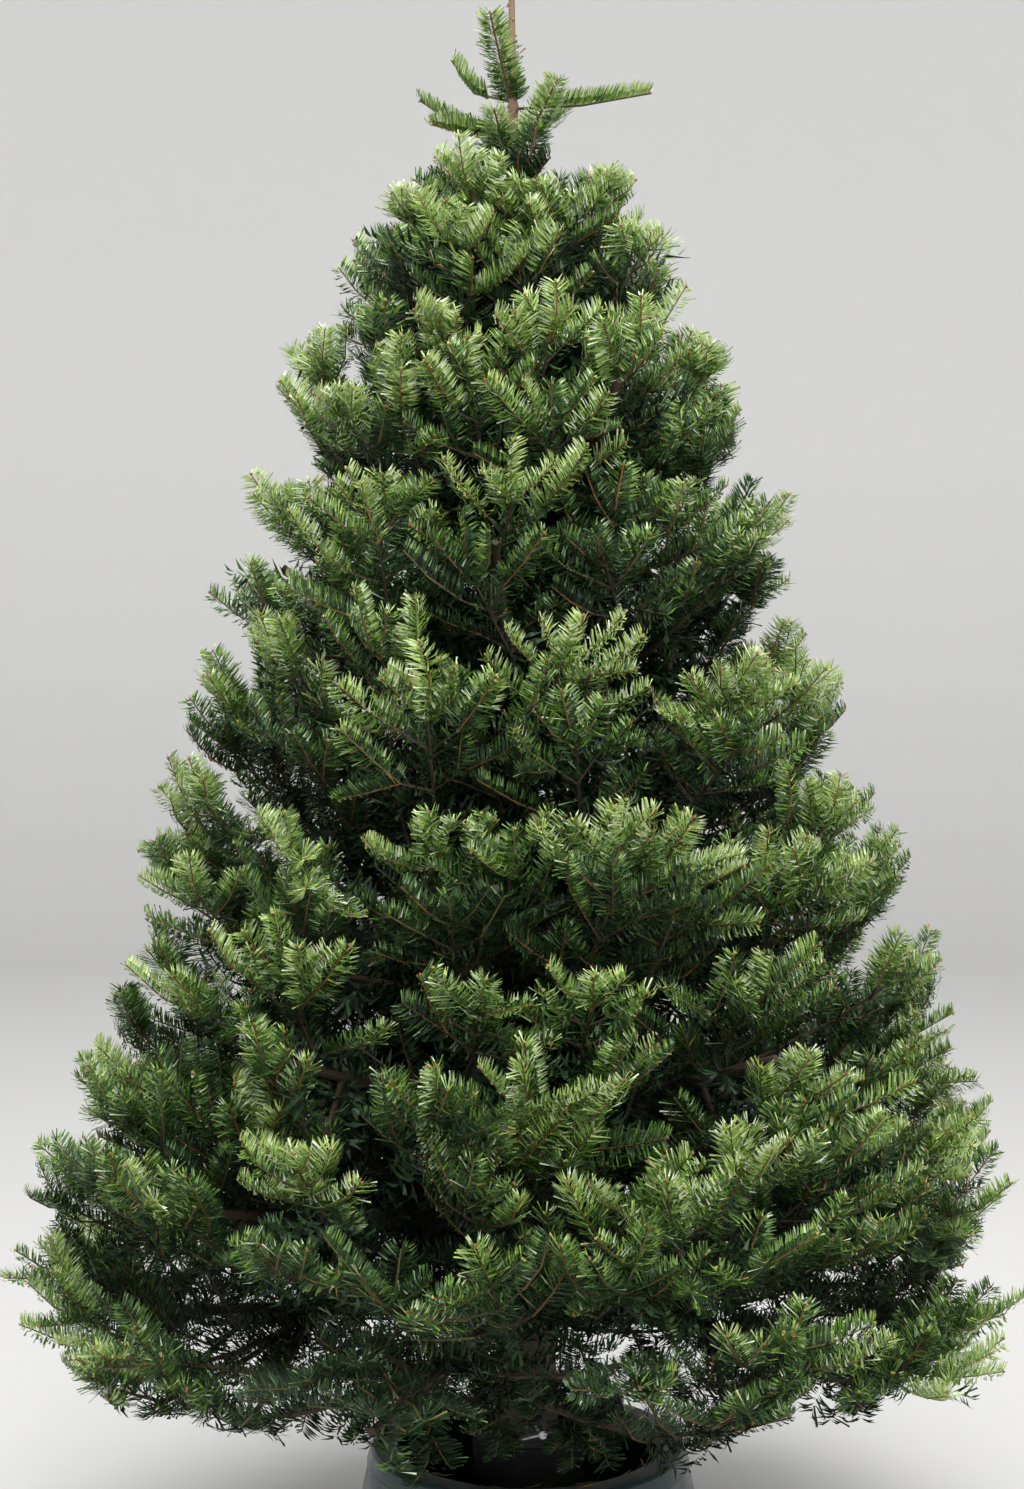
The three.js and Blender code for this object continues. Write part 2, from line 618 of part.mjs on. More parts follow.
add("stand_bowl", bowlGeometry(), GREEN_PLASTIC);
add("stand_collar", collarGeometry(), BLACK_PLASTIC);
for (let k = 0; k < SCREW_COUNT; k += 1) {
  add(`clamp_screw_${k + 1}`, screwGeometry(k), STEEL);
}
add("trunk", geometryOf(solidOf(trunkGeometry(0))), BARK);
TIERS.forEach((tier, t) => {
  for (let k = 0; k < tier.masses; k += 1) {
    if (tier.bough) add(`bough_${t + 1}_${k + 1}`, boughGeometry(t, k), BARK);
    add(`foliage_${t + 1}_${k + 1}`, growMass(t, k), NEEDLES);
  }
});
TOP_BRANCHES.forEach((branch, k) => add(`top_branch_${k + 1}`, topBranchGeometry(branch), NEEDLES));

export default tree;
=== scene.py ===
"""The looks of a cut fir clamped upright in a round moulded water stand.

Everything is in metres, +Z up, with the origin in the middle of the stand's flat underside and the
front at -Y. The crown grows by one rule: tiers are parted by cones, each tier is shared out among a
few masses, and each mass is a stem with sprays of side shoots that keep to its own cell. Here the
sprays are carried on to single shoots, and the shoots to needles and buds.
"""

from __future__ import annotations

import logging
import math
from collections.abc import Sequence
from dataclasses import dataclass, field, replace
from enum import Enum, IntEnum

import bpy
import numpy as np
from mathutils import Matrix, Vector

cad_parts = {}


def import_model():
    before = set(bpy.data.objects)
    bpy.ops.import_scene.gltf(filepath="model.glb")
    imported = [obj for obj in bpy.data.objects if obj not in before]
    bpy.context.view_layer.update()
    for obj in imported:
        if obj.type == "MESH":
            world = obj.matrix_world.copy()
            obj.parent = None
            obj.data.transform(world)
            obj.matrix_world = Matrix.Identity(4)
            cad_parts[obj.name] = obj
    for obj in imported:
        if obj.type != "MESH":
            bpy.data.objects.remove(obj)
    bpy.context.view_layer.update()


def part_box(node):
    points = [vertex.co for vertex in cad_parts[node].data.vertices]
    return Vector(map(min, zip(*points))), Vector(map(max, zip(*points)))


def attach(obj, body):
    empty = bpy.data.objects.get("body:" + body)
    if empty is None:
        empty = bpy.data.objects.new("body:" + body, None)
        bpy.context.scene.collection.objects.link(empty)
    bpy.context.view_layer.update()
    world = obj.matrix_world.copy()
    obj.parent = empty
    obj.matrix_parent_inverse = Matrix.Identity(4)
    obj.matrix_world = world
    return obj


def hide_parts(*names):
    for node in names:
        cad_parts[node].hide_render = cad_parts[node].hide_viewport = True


log = logging.getLogger("fir")

Array = np.ndarray
Pair = tuple[float, float]
Triple = tuple[float, float, float]
Socket = bpy.types.NodeSocket
Material = bpy.types.Material
Materials = Sequence[Material]
UP = np.array([0.0, 0.0, 1.0])
ROOT_BODY = "root"
PIECE_TRIANGLES = 190_000
GOLDEN_ANGLE = 137.5
STEEP_TUBE = 0.97
STEEP_LIMB = 0.95
PATTERN_RANGE = (0.3, 0.7)


# Vectors and noise


def unit(vectors: Array) -> Array:
    """Scale vectors to length one."""
    return vectors / np.maximum(np.linalg.norm(vectors, axis=-1, keepdims=True), 1e-9)


def square_to(vectors: Array, axes: Array) -> Array:
    """Take from each vector its part along a unit axis, and scale what is left to length one."""
    return unit(vectors - np.sum(vectors * axes, axis=-1, keepdims=True) * axes)


def heading(azimuth: float | Array, tilt: float | Array) -> Array:
    """Find the direction with this azimuth and this tilt above the level, both in degrees.

    Args:
        azimuth: Turn about +Z from +X.
        tilt: Angle above the horizon.

    Returns:
        A unit vector, or one for each pair of angles.
    """
    turn, lift = np.radians(azimuth), np.radians(tilt)
    parts = [np.cos(lift) * np.cos(turn), np.cos(lift) * np.sin(turn), np.sin(lift) + 0 * turn]
    return np.stack(parts, axis=-1)


def chance(a: int, b: int, c: int) -> float:
    """Mix three whole numbers into a repeatable number from 0 to 1.

    Args:
        a: First number.
        b: Second number.
        c: Third number.

    Returns:
        The mixed number.
    """
    mask = 0xFFFFFFFF
    h = ((a + 1) * 0x9E3779B1 ^ (b + 1) * 0x85EBCA6B ^ (c + 1) * 0xC2B2AE35) & mask
    h = ((h ^ (h >> 15)) * 0x2C1B3C6D) & mask
    h = ((h ^ (h >> 12)) * 0x297A2D39) & mask
    return (h ^ (h >> 15)) / 2**32


def swing(a: int, b: int, c: int) -> float:
    """The same, spread evenly from -1 to 1."""
    return 2 * chance(a, b, c) - 1


def climb(value: float, start: float, span: float) -> float:
    """How far a value has come on its way from a start over a span, from 0 to 1."""
    return min(max((value - start) / span, 0), 1)


def around(count: int, start: float = 0.0) -> Array:
    """Angles of even steps round a circle, in radians, of which the first is a share of a step on."""
    return 2 * math.pi * (np.arange(count) + start) / count


def ripple(u: Array, v: Array, waves: int, scale: Pair, seed: int) -> Array:
    """Sum sine waves of random directions into an even, wandering relief.

    Each wave is sin(k u + f v + phase), with k a whole number so that the sum closes round a limb.

    Args:
        u: Angle round the limb, in radians.
        v: Distance along the limb, in metres.
        waves: How many waves are summed.
        scale: The most waves round the limb, and the most to a metre along it.
        seed: Start of the random draws.

    Returns:
        Relief from about -1 to 1 at each point.
    """
    rng = np.random.default_rng(seed)
    total = np.zeros(np.broadcast(u, v).shape)
    for _ in range(waves):
        around = rng.integers(0, int(scale[0]) + 1)
        along = rng.uniform(0.1, 1.0) * scale[1] * 2 * math.pi
        total += np.sin(around * u + along * v + rng.uniform(0, 2 * math.pi))
    return total / math.sqrt(2 * waves)


# Finishes


class NodeSketch:
    """A material's node tree with short calls for the nodes that this object uses.

    Inputs are named with underscores for spaces, and are given a constant or another node's output.
    """

    def __init__(self, name: str) -> None:
        """Start a material with one Principled shader."""
        self.material = bpy.data.materials.new(name)
        self.material.use_nodes = True
        self.tree = self.material.node_tree
        self.shader = self.tree.nodes["Principled BSDF"]

    def fill(self, node: bpy.types.Node, values: dict[str, object]) -> None:
        """Set a node's inputs to constants, or join outputs to them.

        Args:
            node: The node.
            values: What each input is given.
        """
        for key, value in values.items():
            target = node.inputs[key.replace("_", " ")]
            if isinstance(value, Socket):
                self.tree.links.new(value, target)
            else:
                target.default_value = value

    def set(self, **values: object) -> None:
        """Fill the shader's own inputs."""
        self.fill(self.shader, values)

    def node(self, kind: str, output: str, **values: object) -> Socket:
        """Add a node and fill its inputs.

        Args:
            kind: Its type, without the words that all types start with.
            output: The output that is wanted.
            values: What each input is given.

        Returns:
            The output.
        """
        node = self.tree.nodes.new(f"ShaderNode{kind}")
        self.fill(node, values)
        return node.outputs[output]

    def place(self, scale: Sequence[float]) -> Socket:
        """Object coordinates, stretched by factors for x, y and z."""
        return self.node("Mapping", "Vector", Vector=self.node("TexCoord", "Object"), Scale=scale)

    def noise(self, scale: float, detail: float = 4.0, stretch: Sequence[float] = (1, 1, 1)) -> Socket:
        """A noise pattern from 0 to 1, by its cells to a metre, its octaves and its stretch."""
        return self.node("TexNoise", "Fac", Scale=scale, Detail=detail, Vector=self.place(stretch))

    def height(self, low: float, high: float) -> Socket:
        """How far up a point lies between two heights, from 0 to 1."""
        return self.remap(self.node("SeparateXYZ", "Z", Vector=self.place((1, 1, 1))), (low, high))

    def remap(self, value: Socket, source: Pair, target: Pair = (0, 1)) -> Socket:
        """Map one range of values evenly to another, clamped."""
        ends = dict(zip(("From_Min", "From_Max", "To_Min", "To_Max"), (*source, *target)))
        return self.node("MapRange", "Result", Value=value, **ends)

    def ramp(self, value: Socket, *stops: tuple[float, Sequence[float]]) -> Socket:
        """Turn a value into a colour.

        Args:
            value: The driving value.
            stops: Places from 0 to 1, each with its colour.

        Returns:
            The colour.
        """
        node = self.tree.nodes.new("ShaderNodeValToRGB")
        elements = node.color_ramp.elements
        for i, (place, colour) in enumerate(stops):
            element = elements[i] if i < 2 else elements.new(place)
            element.position, element.color = place, (*colour, 1.0)
        self.fill(node, {"Fac": value})
        return node.outputs["Color"]

    def mix(self, share: Socket, a: Socket, b: Socket) -> Socket:
        """Blend two colours.

        Args:
            share: How much of the second.
            a: The first colour.
            b: The second.

        Returns:
            The blend.
        """
        node = self.tree.nodes.new("ShaderNodeMix")
        node.data_type = "RGBA"
        self.fill(node, {"Factor": share, "A": a, "B": b})
        return node.outputs["Result"]

    def bump(self, value: Socket, depth: float, strength: float) -> None:
        """Raise the surface by a pattern of a depth in metres, at a strength of the shading."""
        self.set(Normal=self.node("Bump", "Normal", Distance=depth, Strength=strength, Height=value))


@dataclass(frozen=True)
class PlainFinish:
    """One even colour with its gloss, for small parts that are joined by the thousand."""

    name: str
    colour: Triple
    roughness: float = 0.45
    specular: float = 0.5

    def material(self) -> Material:
        """Make the material, all of it constants on the shader."""
        sketch = NodeSketch(self.name)
        colour = (*self.colour, 1.0)
        sketch.set(Base_Color=colour, Roughness=self.roughness, Specular_IOR_Level=self.specular)
        return sketch.material


class Tint(Enum):
    """The colours dealt out to needles, in the order of a piece's material slots."""

    # The first five tints run from dark to light: tone() deals the dark end to inner, low and shaded needles
    # as painted shade and the light end to outer and high needles as painted light, besides real tones of
    # age.
    DEEP = PlainFinish("needle_deep", (0.006, 0.014, 0.005), 0.50, 0.30)
    SHADE = PlainFinish("needle_shade", (0.019, 0.047, 0.009), 0.45, 0.30)
    LEAF = PlainFinish("needle_leaf", (0.057, 0.132, 0.014), 0.42, 0.34)
    BRIGHT = PlainFinish("needle_bright", (0.166, 0.290, 0.044), 0.40, 0.40)
    FRESH_AND_LIT = PlainFinish("needle_fresh_and_lit", (0.350, 0.455, 0.135), 0.40, 0.42)
    STRAW = PlainFinish("needle_straw", (0.300, 0.200, 0.070), 0.60)
    DIM = PlainFinish("underside_shaded", (0.025, 0.057, 0.020), 0.50, 0.32)
    PALE = PlainFinish("underside_pale", (0.132, 0.214, 0.098), 0.45, 0.38)
    # WHITE is the banded underside, dealt only where a needle's light is highest: real bands, partly a
    # painted highlight.
    WHITE = PlainFinish("underside_banded_and_lit", (0.530, 0.600, 0.410), 0.45, 0.40)

    @property
    def slot(self) -> int:
        """Place among the material slots."""
        return list(Tint).index(self)


class Wood(Enum):
    """The colours dealt out to twigs and buds."""

    OLD = PlainFinish("twig_old", (0.055, 0.038, 0.026), 0.75, 0.3)
    YOUNG = PlainFinish("twig_young", (0.125, 0.060, 0.018), 0.60, 0.35)
    GREEN = PlainFinish("twig_green", (0.090, 0.078, 0.022), 0.60, 0.35)
    BUD = PlainFinish("bud_scales", (0.210, 0.115, 0.040), 0.45, 0.5)
    SWELLING = PlainFinish("bud_swelling", (0.300, 0.270, 0.070), 0.45, 0.5)

    @property
    def slot(self) -> int:
        """Place among the material slots."""
        return list(Wood).index(self)


@dataclass(frozen=True)
class BarkFinish:
    """Smooth grey-brown bark with darker flecks, turning pinkish brown on the young leader."""

    grey: Triple = (0.115, 0.095, 0.078)
    brown: Triple = (0.060, 0.042, 0.032)
    young: Triple = (0.215, 0.135, 0.098)
    young_shade: Triple = (0.115, 0.064, 0.042)
    leader_start: float = 1.70
    leader_full: float = 1.90

    def material(self) -> Material:
        """Make the material: patches, fine flecks along the limb, and a blend by height."""
        sketch = NodeSketch("bark")
        patches = sketch.noise(22, 6, (1, 1, 0.35))
        old = sketch.ramp(patches, (0.35, self.brown), (0.68, self.grey))
        young = sketch.ramp(patches, (0.35, self.young_shade), (0.65, self.young))
        share = sketch.height(self.leader_start, self.leader_full)
        sketch.set(Base_Color=sketch.mix(share, old, young))
        sketch.set(Roughness=0.82, Specular_IOR_Level=0.3)
        sketch.bump(sketch.noise(420, 5, (1, 1, 0.4)), 0.0008, 0.7)
        return sketch.material


@dataclass(frozen=True)
class MouldedFinish:
    """Moulded plastic: a fine spark-eroded grain, faint clouds in the colour and settled dust."""

    name: str
    colour: Triple
    dust: Triple
    gloss: Pair
    grain: float = 0.00012

    def material(self) -> Material:
        """Make the material with its clouded colour, uneven gloss and grain."""
        sketch = NodeSketch(self.name)
        clouds = sketch.noise(9, 5)
        lighter = tuple(1.35 * c for c in self.colour)
        body = sketch.ramp(clouds, (0.35, self.colour), (0.7, lighter))
        specks = sketch.remap(sketch.noise(160, 6), PATTERN_RANGE, (0.0, 0.14))
        dust = sketch.ramp(clouds, (0.0, self.dust), (1.0, self.dust))
        sketch.set(Base_Color=sketch.mix(specks, body, dust))
        rough = sketch.remap(sketch.noise(30, 4), PATTERN_RANGE, self.gloss)
        sketch.set(Roughness=rough)
        sketch.set(Specular_IOR_Level=0.5)
        sketch.bump(sketch.noise(1400, 2), self.grain, 0.5)
        return sketch.material


@dataclass(frozen=True)
class PlatedFinish:
    """Zinc-plated steel, dull with a lilac cast and a little rust in patches."""

    plate: Triple = (0.42, 0.40, 0.46)
    tarnish: Triple = (0.20, 0.15, 0.13)

    def material(self) -> Material:
        """Make the material: plate with tarnished patches, uneven gloss and a fine bump."""
        sketch = NodeSketch("plated_steel")
        patches = sketch.noise(60, 6)
        colour = sketch.ramp(patches, (0.38, self.tarnish), (0.56, self.plate))
        sketch.set(Base_Color=colour)
        rough = sketch.remap(sketch.noise(240, 3), PATTERN_RANGE, (0.28, 0.5))
        sketch.set(Roughness=rough)
        sketch.set(Metallic=0.9)
        sketch.bump(sketch.noise(900, 3), 0.0001, 0.4)
        return sketch.material


@dataclass(frozen=True)
class FloorFinish:
    """A plain pale matt studio floor, paler still where it sweeps up behind: painted light that lifts the
    wall, which the lamps light less, to the floor's brightness.
    """

    colour: Triple = (0.50, 0.495, 0.485)
    wall: Triple = (0.76, 0.755, 0.745)
    wall_full: float = 3.0

    def material(self) -> Material:
        """Make the material."""
        sketch = NodeSketch("studio_floor")
        # Painted light: the colour grows paler with height, to make up for the wall getting less light than
        # the floor.
        tone = sketch.ramp(sketch.height(0, self.wall_full), (0.0, self.colour), (1.0, self.wall))
        sketch.set(Base_Color=tone)
        sketch.set(Roughness=0.9, Specular_IOR_Level=0.2)
        return sketch.material


# Meshes


@dataclass
class MeshPart:
    """Triangles waiting to be joined: corners, faces and each face's material slot."""

    corners: Array
    faces: Array
    slots: Array

    @staticmethod
    def joined(parts: Sequence[MeshPart]) -> MeshPart:
        """Put parts into one, with their faces renumbered.

        Args:
            parts: The parts, in order.

        Returns:
            One part that holds them all.
        """
        shifts = np.cumsum([0] + [len(p.corners) for p in parts[:-1]])
        faces = [p.faces + shift for p, shift in zip(parts, shifts)]
        corners = np.concatenate([p.corners for p in parts])
        return MeshPart(corners, np.concatenate(faces), np.concatenate([p.slots for p in parts]))


@dataclass(frozen=True)
class Piece:
    """How a mesh becomes a piece of the object: its name, record slot and the nodes it stands for."""

    name: str
    slot: str
    materials: Materials
    replaces: Sequence[str] = ()
    smooth: bool = False
    sharp: float = 180

    def add(self, part: MeshPart) -> bpy.types.Object:
        """Build the object, let it ride on the body and hide what it replaces.

        Args:
            part: The triangles, in place.

        Returns:
            The finished object.
        """
        mesh = bpy.data.meshes.new(self.name)
        count = len(part.faces)
        mesh.vertices.add(len(part.corners))
        mesh.vertices.foreach_set("co", part.corners.astype(np.float32).ravel())
        mesh.loops.add(3 * count)
        mesh.loops.foreach_set("vertex_index", part.faces.astype(np.int32).ravel())
        mesh.polygons.add(count)
        mesh.polygons.foreach_set("loop_start", np.arange(0, 3 * count, 3, dtype=np.int32))
        mesh.polygons.foreach_set("material_index", part.slots.astype(np.int32))
        mesh.polygons.foreach_set("use_smooth", np.full(count, self.smooth))
        mesh.update(calc_edges=True)
        if self.sharp < 180:
            mesh.set_sharp_from_angle(angle=math.radians(self.sharp))
        for material in self.materials:
            mesh.materials.append(material)
        obj = bpy.data.objects.new(self.name, mesh)
        bpy.context.scene.collection.objects.link(obj)
        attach(obj, ROOT_BODY)
        if self.replaces:
            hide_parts(*self.replaces)
        log.info("%s: %d triangles", self.name, count)
        return obj


def wall_faces(index: Array) -> list[Array]:
    """Join a grid of corners whose columns close round.

    Args:
        index: The corners' numbers, rows by columns.

    Returns:
        Triangles as rows of three corner numbers, in two halves of each square.
    """
    beside = np.roll(index, -1, axis=1)
    a, b, c, d = index[:-1], beside[:-1], beside[1:], index[1:]
    return [np.stack([a, b, c], -1).reshape(-1, 3), np.stack([a, c, d], -1).reshape(-1, 3)]


def grid_part(points: Array, ends: tuple[bool, bool] = (True, True)) -> MeshPart:
    """Skin a grid of points, rows along the piece and columns round it.

    Args:
        points: Array of rows by columns by 3. Columns run counterclockwise seen from the last row.
        ends: Whether the first row and the last are each closed by a fan to its middle.

    Returns:
        The triangles, facing out.
    """
    rows, columns = points.shape[:2]
    index = np.arange(rows * columns).reshape(rows, columns)
    faces = wall_faces(index)
    corners = [points.reshape(-1, 3), points[0].mean(0)[None], points[-1].mean(0)[None]]
    middle = np.full(columns, rows * columns)
    if ends[0]:
        faces.append(np.stack([middle, np.roll(index[0], -1), index[0]], -1))
    if ends[1]:
        faces.append(np.stack([middle + 1, index[-1], np.roll(index[-1], -1)], -1))
    joined = np.concatenate(faces)
    return MeshPart(np.concatenate(corners), joined, np.zeros(len(joined), int))


def tubes_part(points: Array, radii: Array, sides: int, slots: Array) -> MeshPart:
    """Skin many tubes at once, each a ring of corners carried along its own path.

    A corner is point + radius (cos a across + sin a third), with across level and square to the path.

    Args:
        points: Array of tubes by stations by 3.
        radii: Array of tubes by stations.
        sides: Corners in a ring.
        slots: Material slot of each tube.

    Returns:
        The triangles, facing out, with flat ends.
    """
    tubes, stations = points.shape[:2]
    along = unit(np.gradient(points, axis=1))
    steep = np.abs(along[..., 2:]) > STEEP_TUBE
    across = unit(np.cross(np.where(steep, np.array([1.0, 0.0, 0.0]), UP), along))
    third = np.cross(along, across)
    angle = around(sides, 0.5)
    ring = np.cos(angle)[:, None] * across[:, :, None] + np.sin(angle)[:, None] * third[:, :, None]
    corners = points[:, :, None] + radii[:, :, None, None] * ring
    template = grid_faces(stations, sides)
    shift = np.arange(tubes)[:, None, None] * stations * sides
    faces = (template[None] + shift).reshape(-1, 3)
    return MeshPart(corners.reshape(-1, 3), faces, np.repeat(slots, len(template)))


def grid_faces(stations: int, sides: int) -> Array:
    """Faces of one closed tube whose rings lie end to end.

    Args:
        stations: Rings along the tube.
        sides: Corners in a ring.

    Returns:
        Triangles as rows of three corner numbers.
    """
    walls = wall_faces(np.arange(stations * sides).reshape(stations, sides))
    fan = np.arange(1, sides - 1)
    last = (stations - 1) * sides
    walls.append(np.stack([0 * fan, fan + 1, fan], -1))
    walls.append(np.stack([0 * fan + last, last + fan, last + fan + 1], -1))
    return np.concatenate(walls)


def limb_grid(path: Array, radii: Array) -> Array:
    """Carry a ring along a path, with a radius for each corner.

    Args:
        path: Stations along the limb, rows of 3.
        radii: Array of stations by sides.

    Returns:
        Array of stations by sides by 3.
    """
    along = unit(np.gradient(path, axis=0))
    upright = np.abs(along[:, 2:]) > STEEP_LIMB
    across = np.where(upright, np.array([0.0, 1.0, 0.0]), unit(np.cross(UP, along)))
    along = np.where(upright, UP, along)
    third = np.cross(along, across)
    angle = around(radii.shape[1], 0.5)
    ring = np.cos(angle)[None, :, None] * across[:, None] + np.sin(angle)[None, :, None] * third[:, None]
    return path[:, None] + radii[..., None] * ring


# The rule that the tree grows by

OUTER_RIM = ((1, 0), (0.8, 0.35), (0.8, -0.35), (0.38, 0.42), (0.38, -0.42), (0.44, 0), (0, 0))
INNER_RIM = ((1, 0), (0.62, 0.38), (0.62, -0.38), (0.44, 0), (0, 0))


@dataclass(frozen=True)
class TrunkForm:
    """The trunk from its cut on the stand's floor to the leader's tip."""

    butt_height: float
    height: float
    top_whorl: float = 1.936
    butt_radius: float = 0.046
    whorl_radius: float = 0.0075
    tip_radius: float = 0.004
    flare: float = 0.14
    flare_height: float = 0.090
    lean: float = -0.020
    taper: float = 0.9
    leader_step: float = 0.0015

    @classmethod
    def from_frame(cls) -> TrunkForm:
        """Read the trunk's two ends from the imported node."""
        low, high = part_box("trunk")
        return cls(butt_height=low.z, height=high.z)

    def share(self, z: float | Array) -> float | Array:
        """How far up from the cut to the topmost whorl a height lies."""
        return (z - self.butt_height) / (self.top_whorl - self.butt_height)

    def radius(self, z: float | Array) -> Array:
        """Radius at a height: a taper with a flare at the cut, and a slim straight leader.

        The taper is butt + (whorl - butt) share^taper, times 1 + flare exp(-height / flare height).

        Args:
            z: Heights above the floor.

        Returns:
            The radii.
        """
        share = np.clip(self.share(z), 0, 1)
        tapered = self.butt_radius + (self.whorl_radius - self.butt_radius) * share**self.taper
        low = tapered * (1 + self.flare * np.exp(-(z - self.butt_height) / self.flare_height))
        up = (z - self.top_whorl) / (self.height - self.top_whorl)
        leader = (self.whorl_radius - self.leader_step) * (1 - up) + self.tip_radius * up
        return np.where(self.share(z) > 1, leader, low)

    def axis(self, z: float | Array) -> Array:
        """The point on the leaning axis at a height."""
        return np.stack([self.lean * self.share(z), 0 * np.asarray(z), np.asarray(z)], axis=-1)


@dataclass(frozen=True)
class Cone:
    """A cone about the trunk: its height on the axis, and its slope."""

    height: float
    slope: float

    def at(self, r: float | Array) -> float | Array:
        """Height at a distance from the axis."""
        return self.height + self.slope * r


@dataclass(frozen=True)
class Cell:
    """The space of one mass: a wedge between two cones."""

    low: Cone
    high: Cone
    azimuth: float
    half: float

    @property
    def middle(self) -> Cone:
        """The cone half way between the two."""
        return Cone((self.low.height + self.high.height) / 2, (self.low.slope + self.high.slope) / 2)


@dataclass(frozen=True)
class Tier:
    """One tier: its masses, where the first points, sprays to a row, their length, and boughs."""

    masses: int
    azimuth: float
    columns: int
    length: float
    bough: bool


@dataclass(frozen=True)
class Spray:
    """A flat spray of side shoots at the end of a twig."""

    start: Array
    root: Array
    along: Array
    length: float
    width: float
    roll: float
    outer: bool
    level: float = 0.0
    lifted: bool = False

    @property
    def across(self) -> Array:
        """Direction across the spray, rolled a little off the level."""
        level = unit(np.cross(UP, self.along))
        return level * math.cos(self.roll) + np.cross(self.along, level) * math.sin(self.roll)

    @property
    def normal(self) -> Array:
        """Direction out of the spray's upper face."""
        return np.cross(self.along, self.across)

    def at(self, u: float, v: float, w: float = 0.0) -> Array:
        """Point at shares of the length along, across and above the spray."""
        flat = self.root + self.along * (u * self.length) + self.across * (v * self.length * self.width)
        return flat + self.normal * (w * self.length)


@dataclass(frozen=True)
class Bed:
    """What a mass lays its sprays by: its cell, tilt, reach, half its height and its first twig."""

    cell: Cell
    tilt: float
    reach: float
    room: float
    first: float


@dataclass(frozen=True)
class GrowthRule:
    """How the tree shares its crown out among masses, and each mass among its sprays."""

    trunk: TrunkForm
    outline: tuple[Pair, ...] = (
        (0.235, 0.520),
        (0.410, 0.672),
        (0.600, 0.626),
        (1.180, 0.432),
        (1.400, 0.358),
        (1.640, 0.290),
        (1.760, 0.215),
        (1.900, 0.125),
    )
    skirt_tilt: float = 0.050
    tiers: tuple[Tier, ...] = (
        Tier(5, 180, 4, 0.235, True),
        Tier(5, 0, 4, 0.235, True),
        Tier(5, 18, 3, 0.230, False),
        Tier(4, 176, 4, 0.215, False),
        Tier(4, 40, 3, 0.210, False),
        Tier(4, 355, 3, 0.200, False),
        Tier(3, 178, 4, 0.175, False),
        Tier(3, 242, 3, 0.160, False),
    )
    tier_tips: tuple[float, ...] = (0.265, 0.470, 0.670, 0.870, 1.070, 1.270, 1.470, 1.665, 1.872)
    tier_tilts: tuple[float, ...] = (-8, 2, 10, 17, 24, 30, 36, 41, 43)
    row_share: float = 0.44
    rises: Pair = (28, 10)
    cell_margin: float = 0.0025
    nudge: float = 0.009
    stem_upturn: float = 0.026
    stem_share: float = 0.84
    bough_share: float = 0.4
    twig_angle: float = 48
    first_twig: float = 0.024
    tip_share: float = 1.04
    tip_spread: float = 0.09
    inner_share: float = 0.66
    inner_level: float = 0.15
    inner_rise: float = 25
    inner_size: float = 0.85
    spray_width: float = 1.1
    inner_width: float = 1.35
    front_part: Pair = (236, 290)
    front_share: float = 0.62
    length_swing: float = 0.1
    roll_swing: float = 0.2
    cover_places: tuple[Pair, ...] = ((1.0, 0.35), (-0.45, 0.95), (0.40, 0.85))

    def radius(self, z: float | Array) -> Array:
        """Radius of the crown at a height, straight between the outline's points and past its ends."""
        heights, radii = np.array(self.outline).T
        i = np.clip(np.searchsorted(heights, z), 1, len(heights) - 1)
        slope = (radii[i] - radii[i - 1]) / (heights[i] - heights[i - 1])
        return np.maximum(radii[i - 1] + slope * (z - heights[i - 1]), 0.020)

    def parting(self, i: int) -> Cone:
        """The cone that parts a tier from the one below."""
        slope = math.tan(math.radians(self.tier_tilts[i]))
        return Cone(self.tier_tips[i] - float(self.radius(self.tier_tips[i])) * slope, slope)

    def cell(self, t: int, k: int) -> Cell:
        """The cell of one mass.

        Args:
            t: The tier, from 0 at the foot.
            k: The mass in it, from 0.

        Returns:
            Its wedge between two cones.
        """
        tier = self.tiers[t]
        azimuth = tier.azimuth + 360 / tier.masses * k
        low = self.parting(t)
        if t == 0:
            lift = self.skirt_tilt / 2 * (1 + math.cos(math.radians(azimuth)))
            low = Cone(low.height + lift, low.slope)
        return Cell(low, self.parting(t + 1), azimuth, 180 / tier.masses)

    def inside(self, cell: Cell, points: Array) -> Array:
        """Test which points a cell holds.

        Args:
            cell: The cell.
            points: Rows of 3.

        Returns:
            True for each point that is clear inside its walls.
        """
        away = points - self.trunk.axis(points[:, 2])
        r = np.hypot(away[:, 0], away[:, 1])
        turn = np.degrees(np.arctan2(away[:, 1], away[:, 0])) - cell.azimuth
        off = np.abs((turn + 180) % 360 - 180)
        side = np.where(off < cell.half, r * np.sin(np.radians(np.minimum(cell.half - off, 90))), -1)
        low = points[:, 2] - cell.low.at(r)
        high = cell.high.at(r) - points[:, 2]
        return np.minimum(side, np.minimum(low, high)) > self.cell_margin

    def polar(self, azimuth: float, r: float, z: float) -> Array:
        """The point at an azimuth and a distance from the leaning axis."""
        return self.trunk.axis(z) + r * heading(azimuth, 0)

    def face(self, cell: Cell, offset: float, share: float) -> float:
        """Distance at which a line off the middle cone meets a share of the crown's face."""
        r = 0.3
        for _ in range(12):
            r = share * float(self.radius(cell.middle.at(r) + offset))
        return r

    def stem(self, cell: Cell, reach: float, r: float | Array) -> Array:
        """Points on a mass's stem, r from the trunk's axis. It turns up towards its tip."""
        z = cell.middle.at(r) + self.stem_upturn * ((r / reach) ** 2 - 0.5)
        return self.trunk.axis(z) + np.asarray(r)[..., None] * heading(cell.azimuth, 0)

    def first(self, t: int, reach: float) -> float:
        """Where a mass's stem starts: at its bough's tip or at the trunk's axis."""
        return reach * self.bough_share if self.tiers[t].bough else 0.0

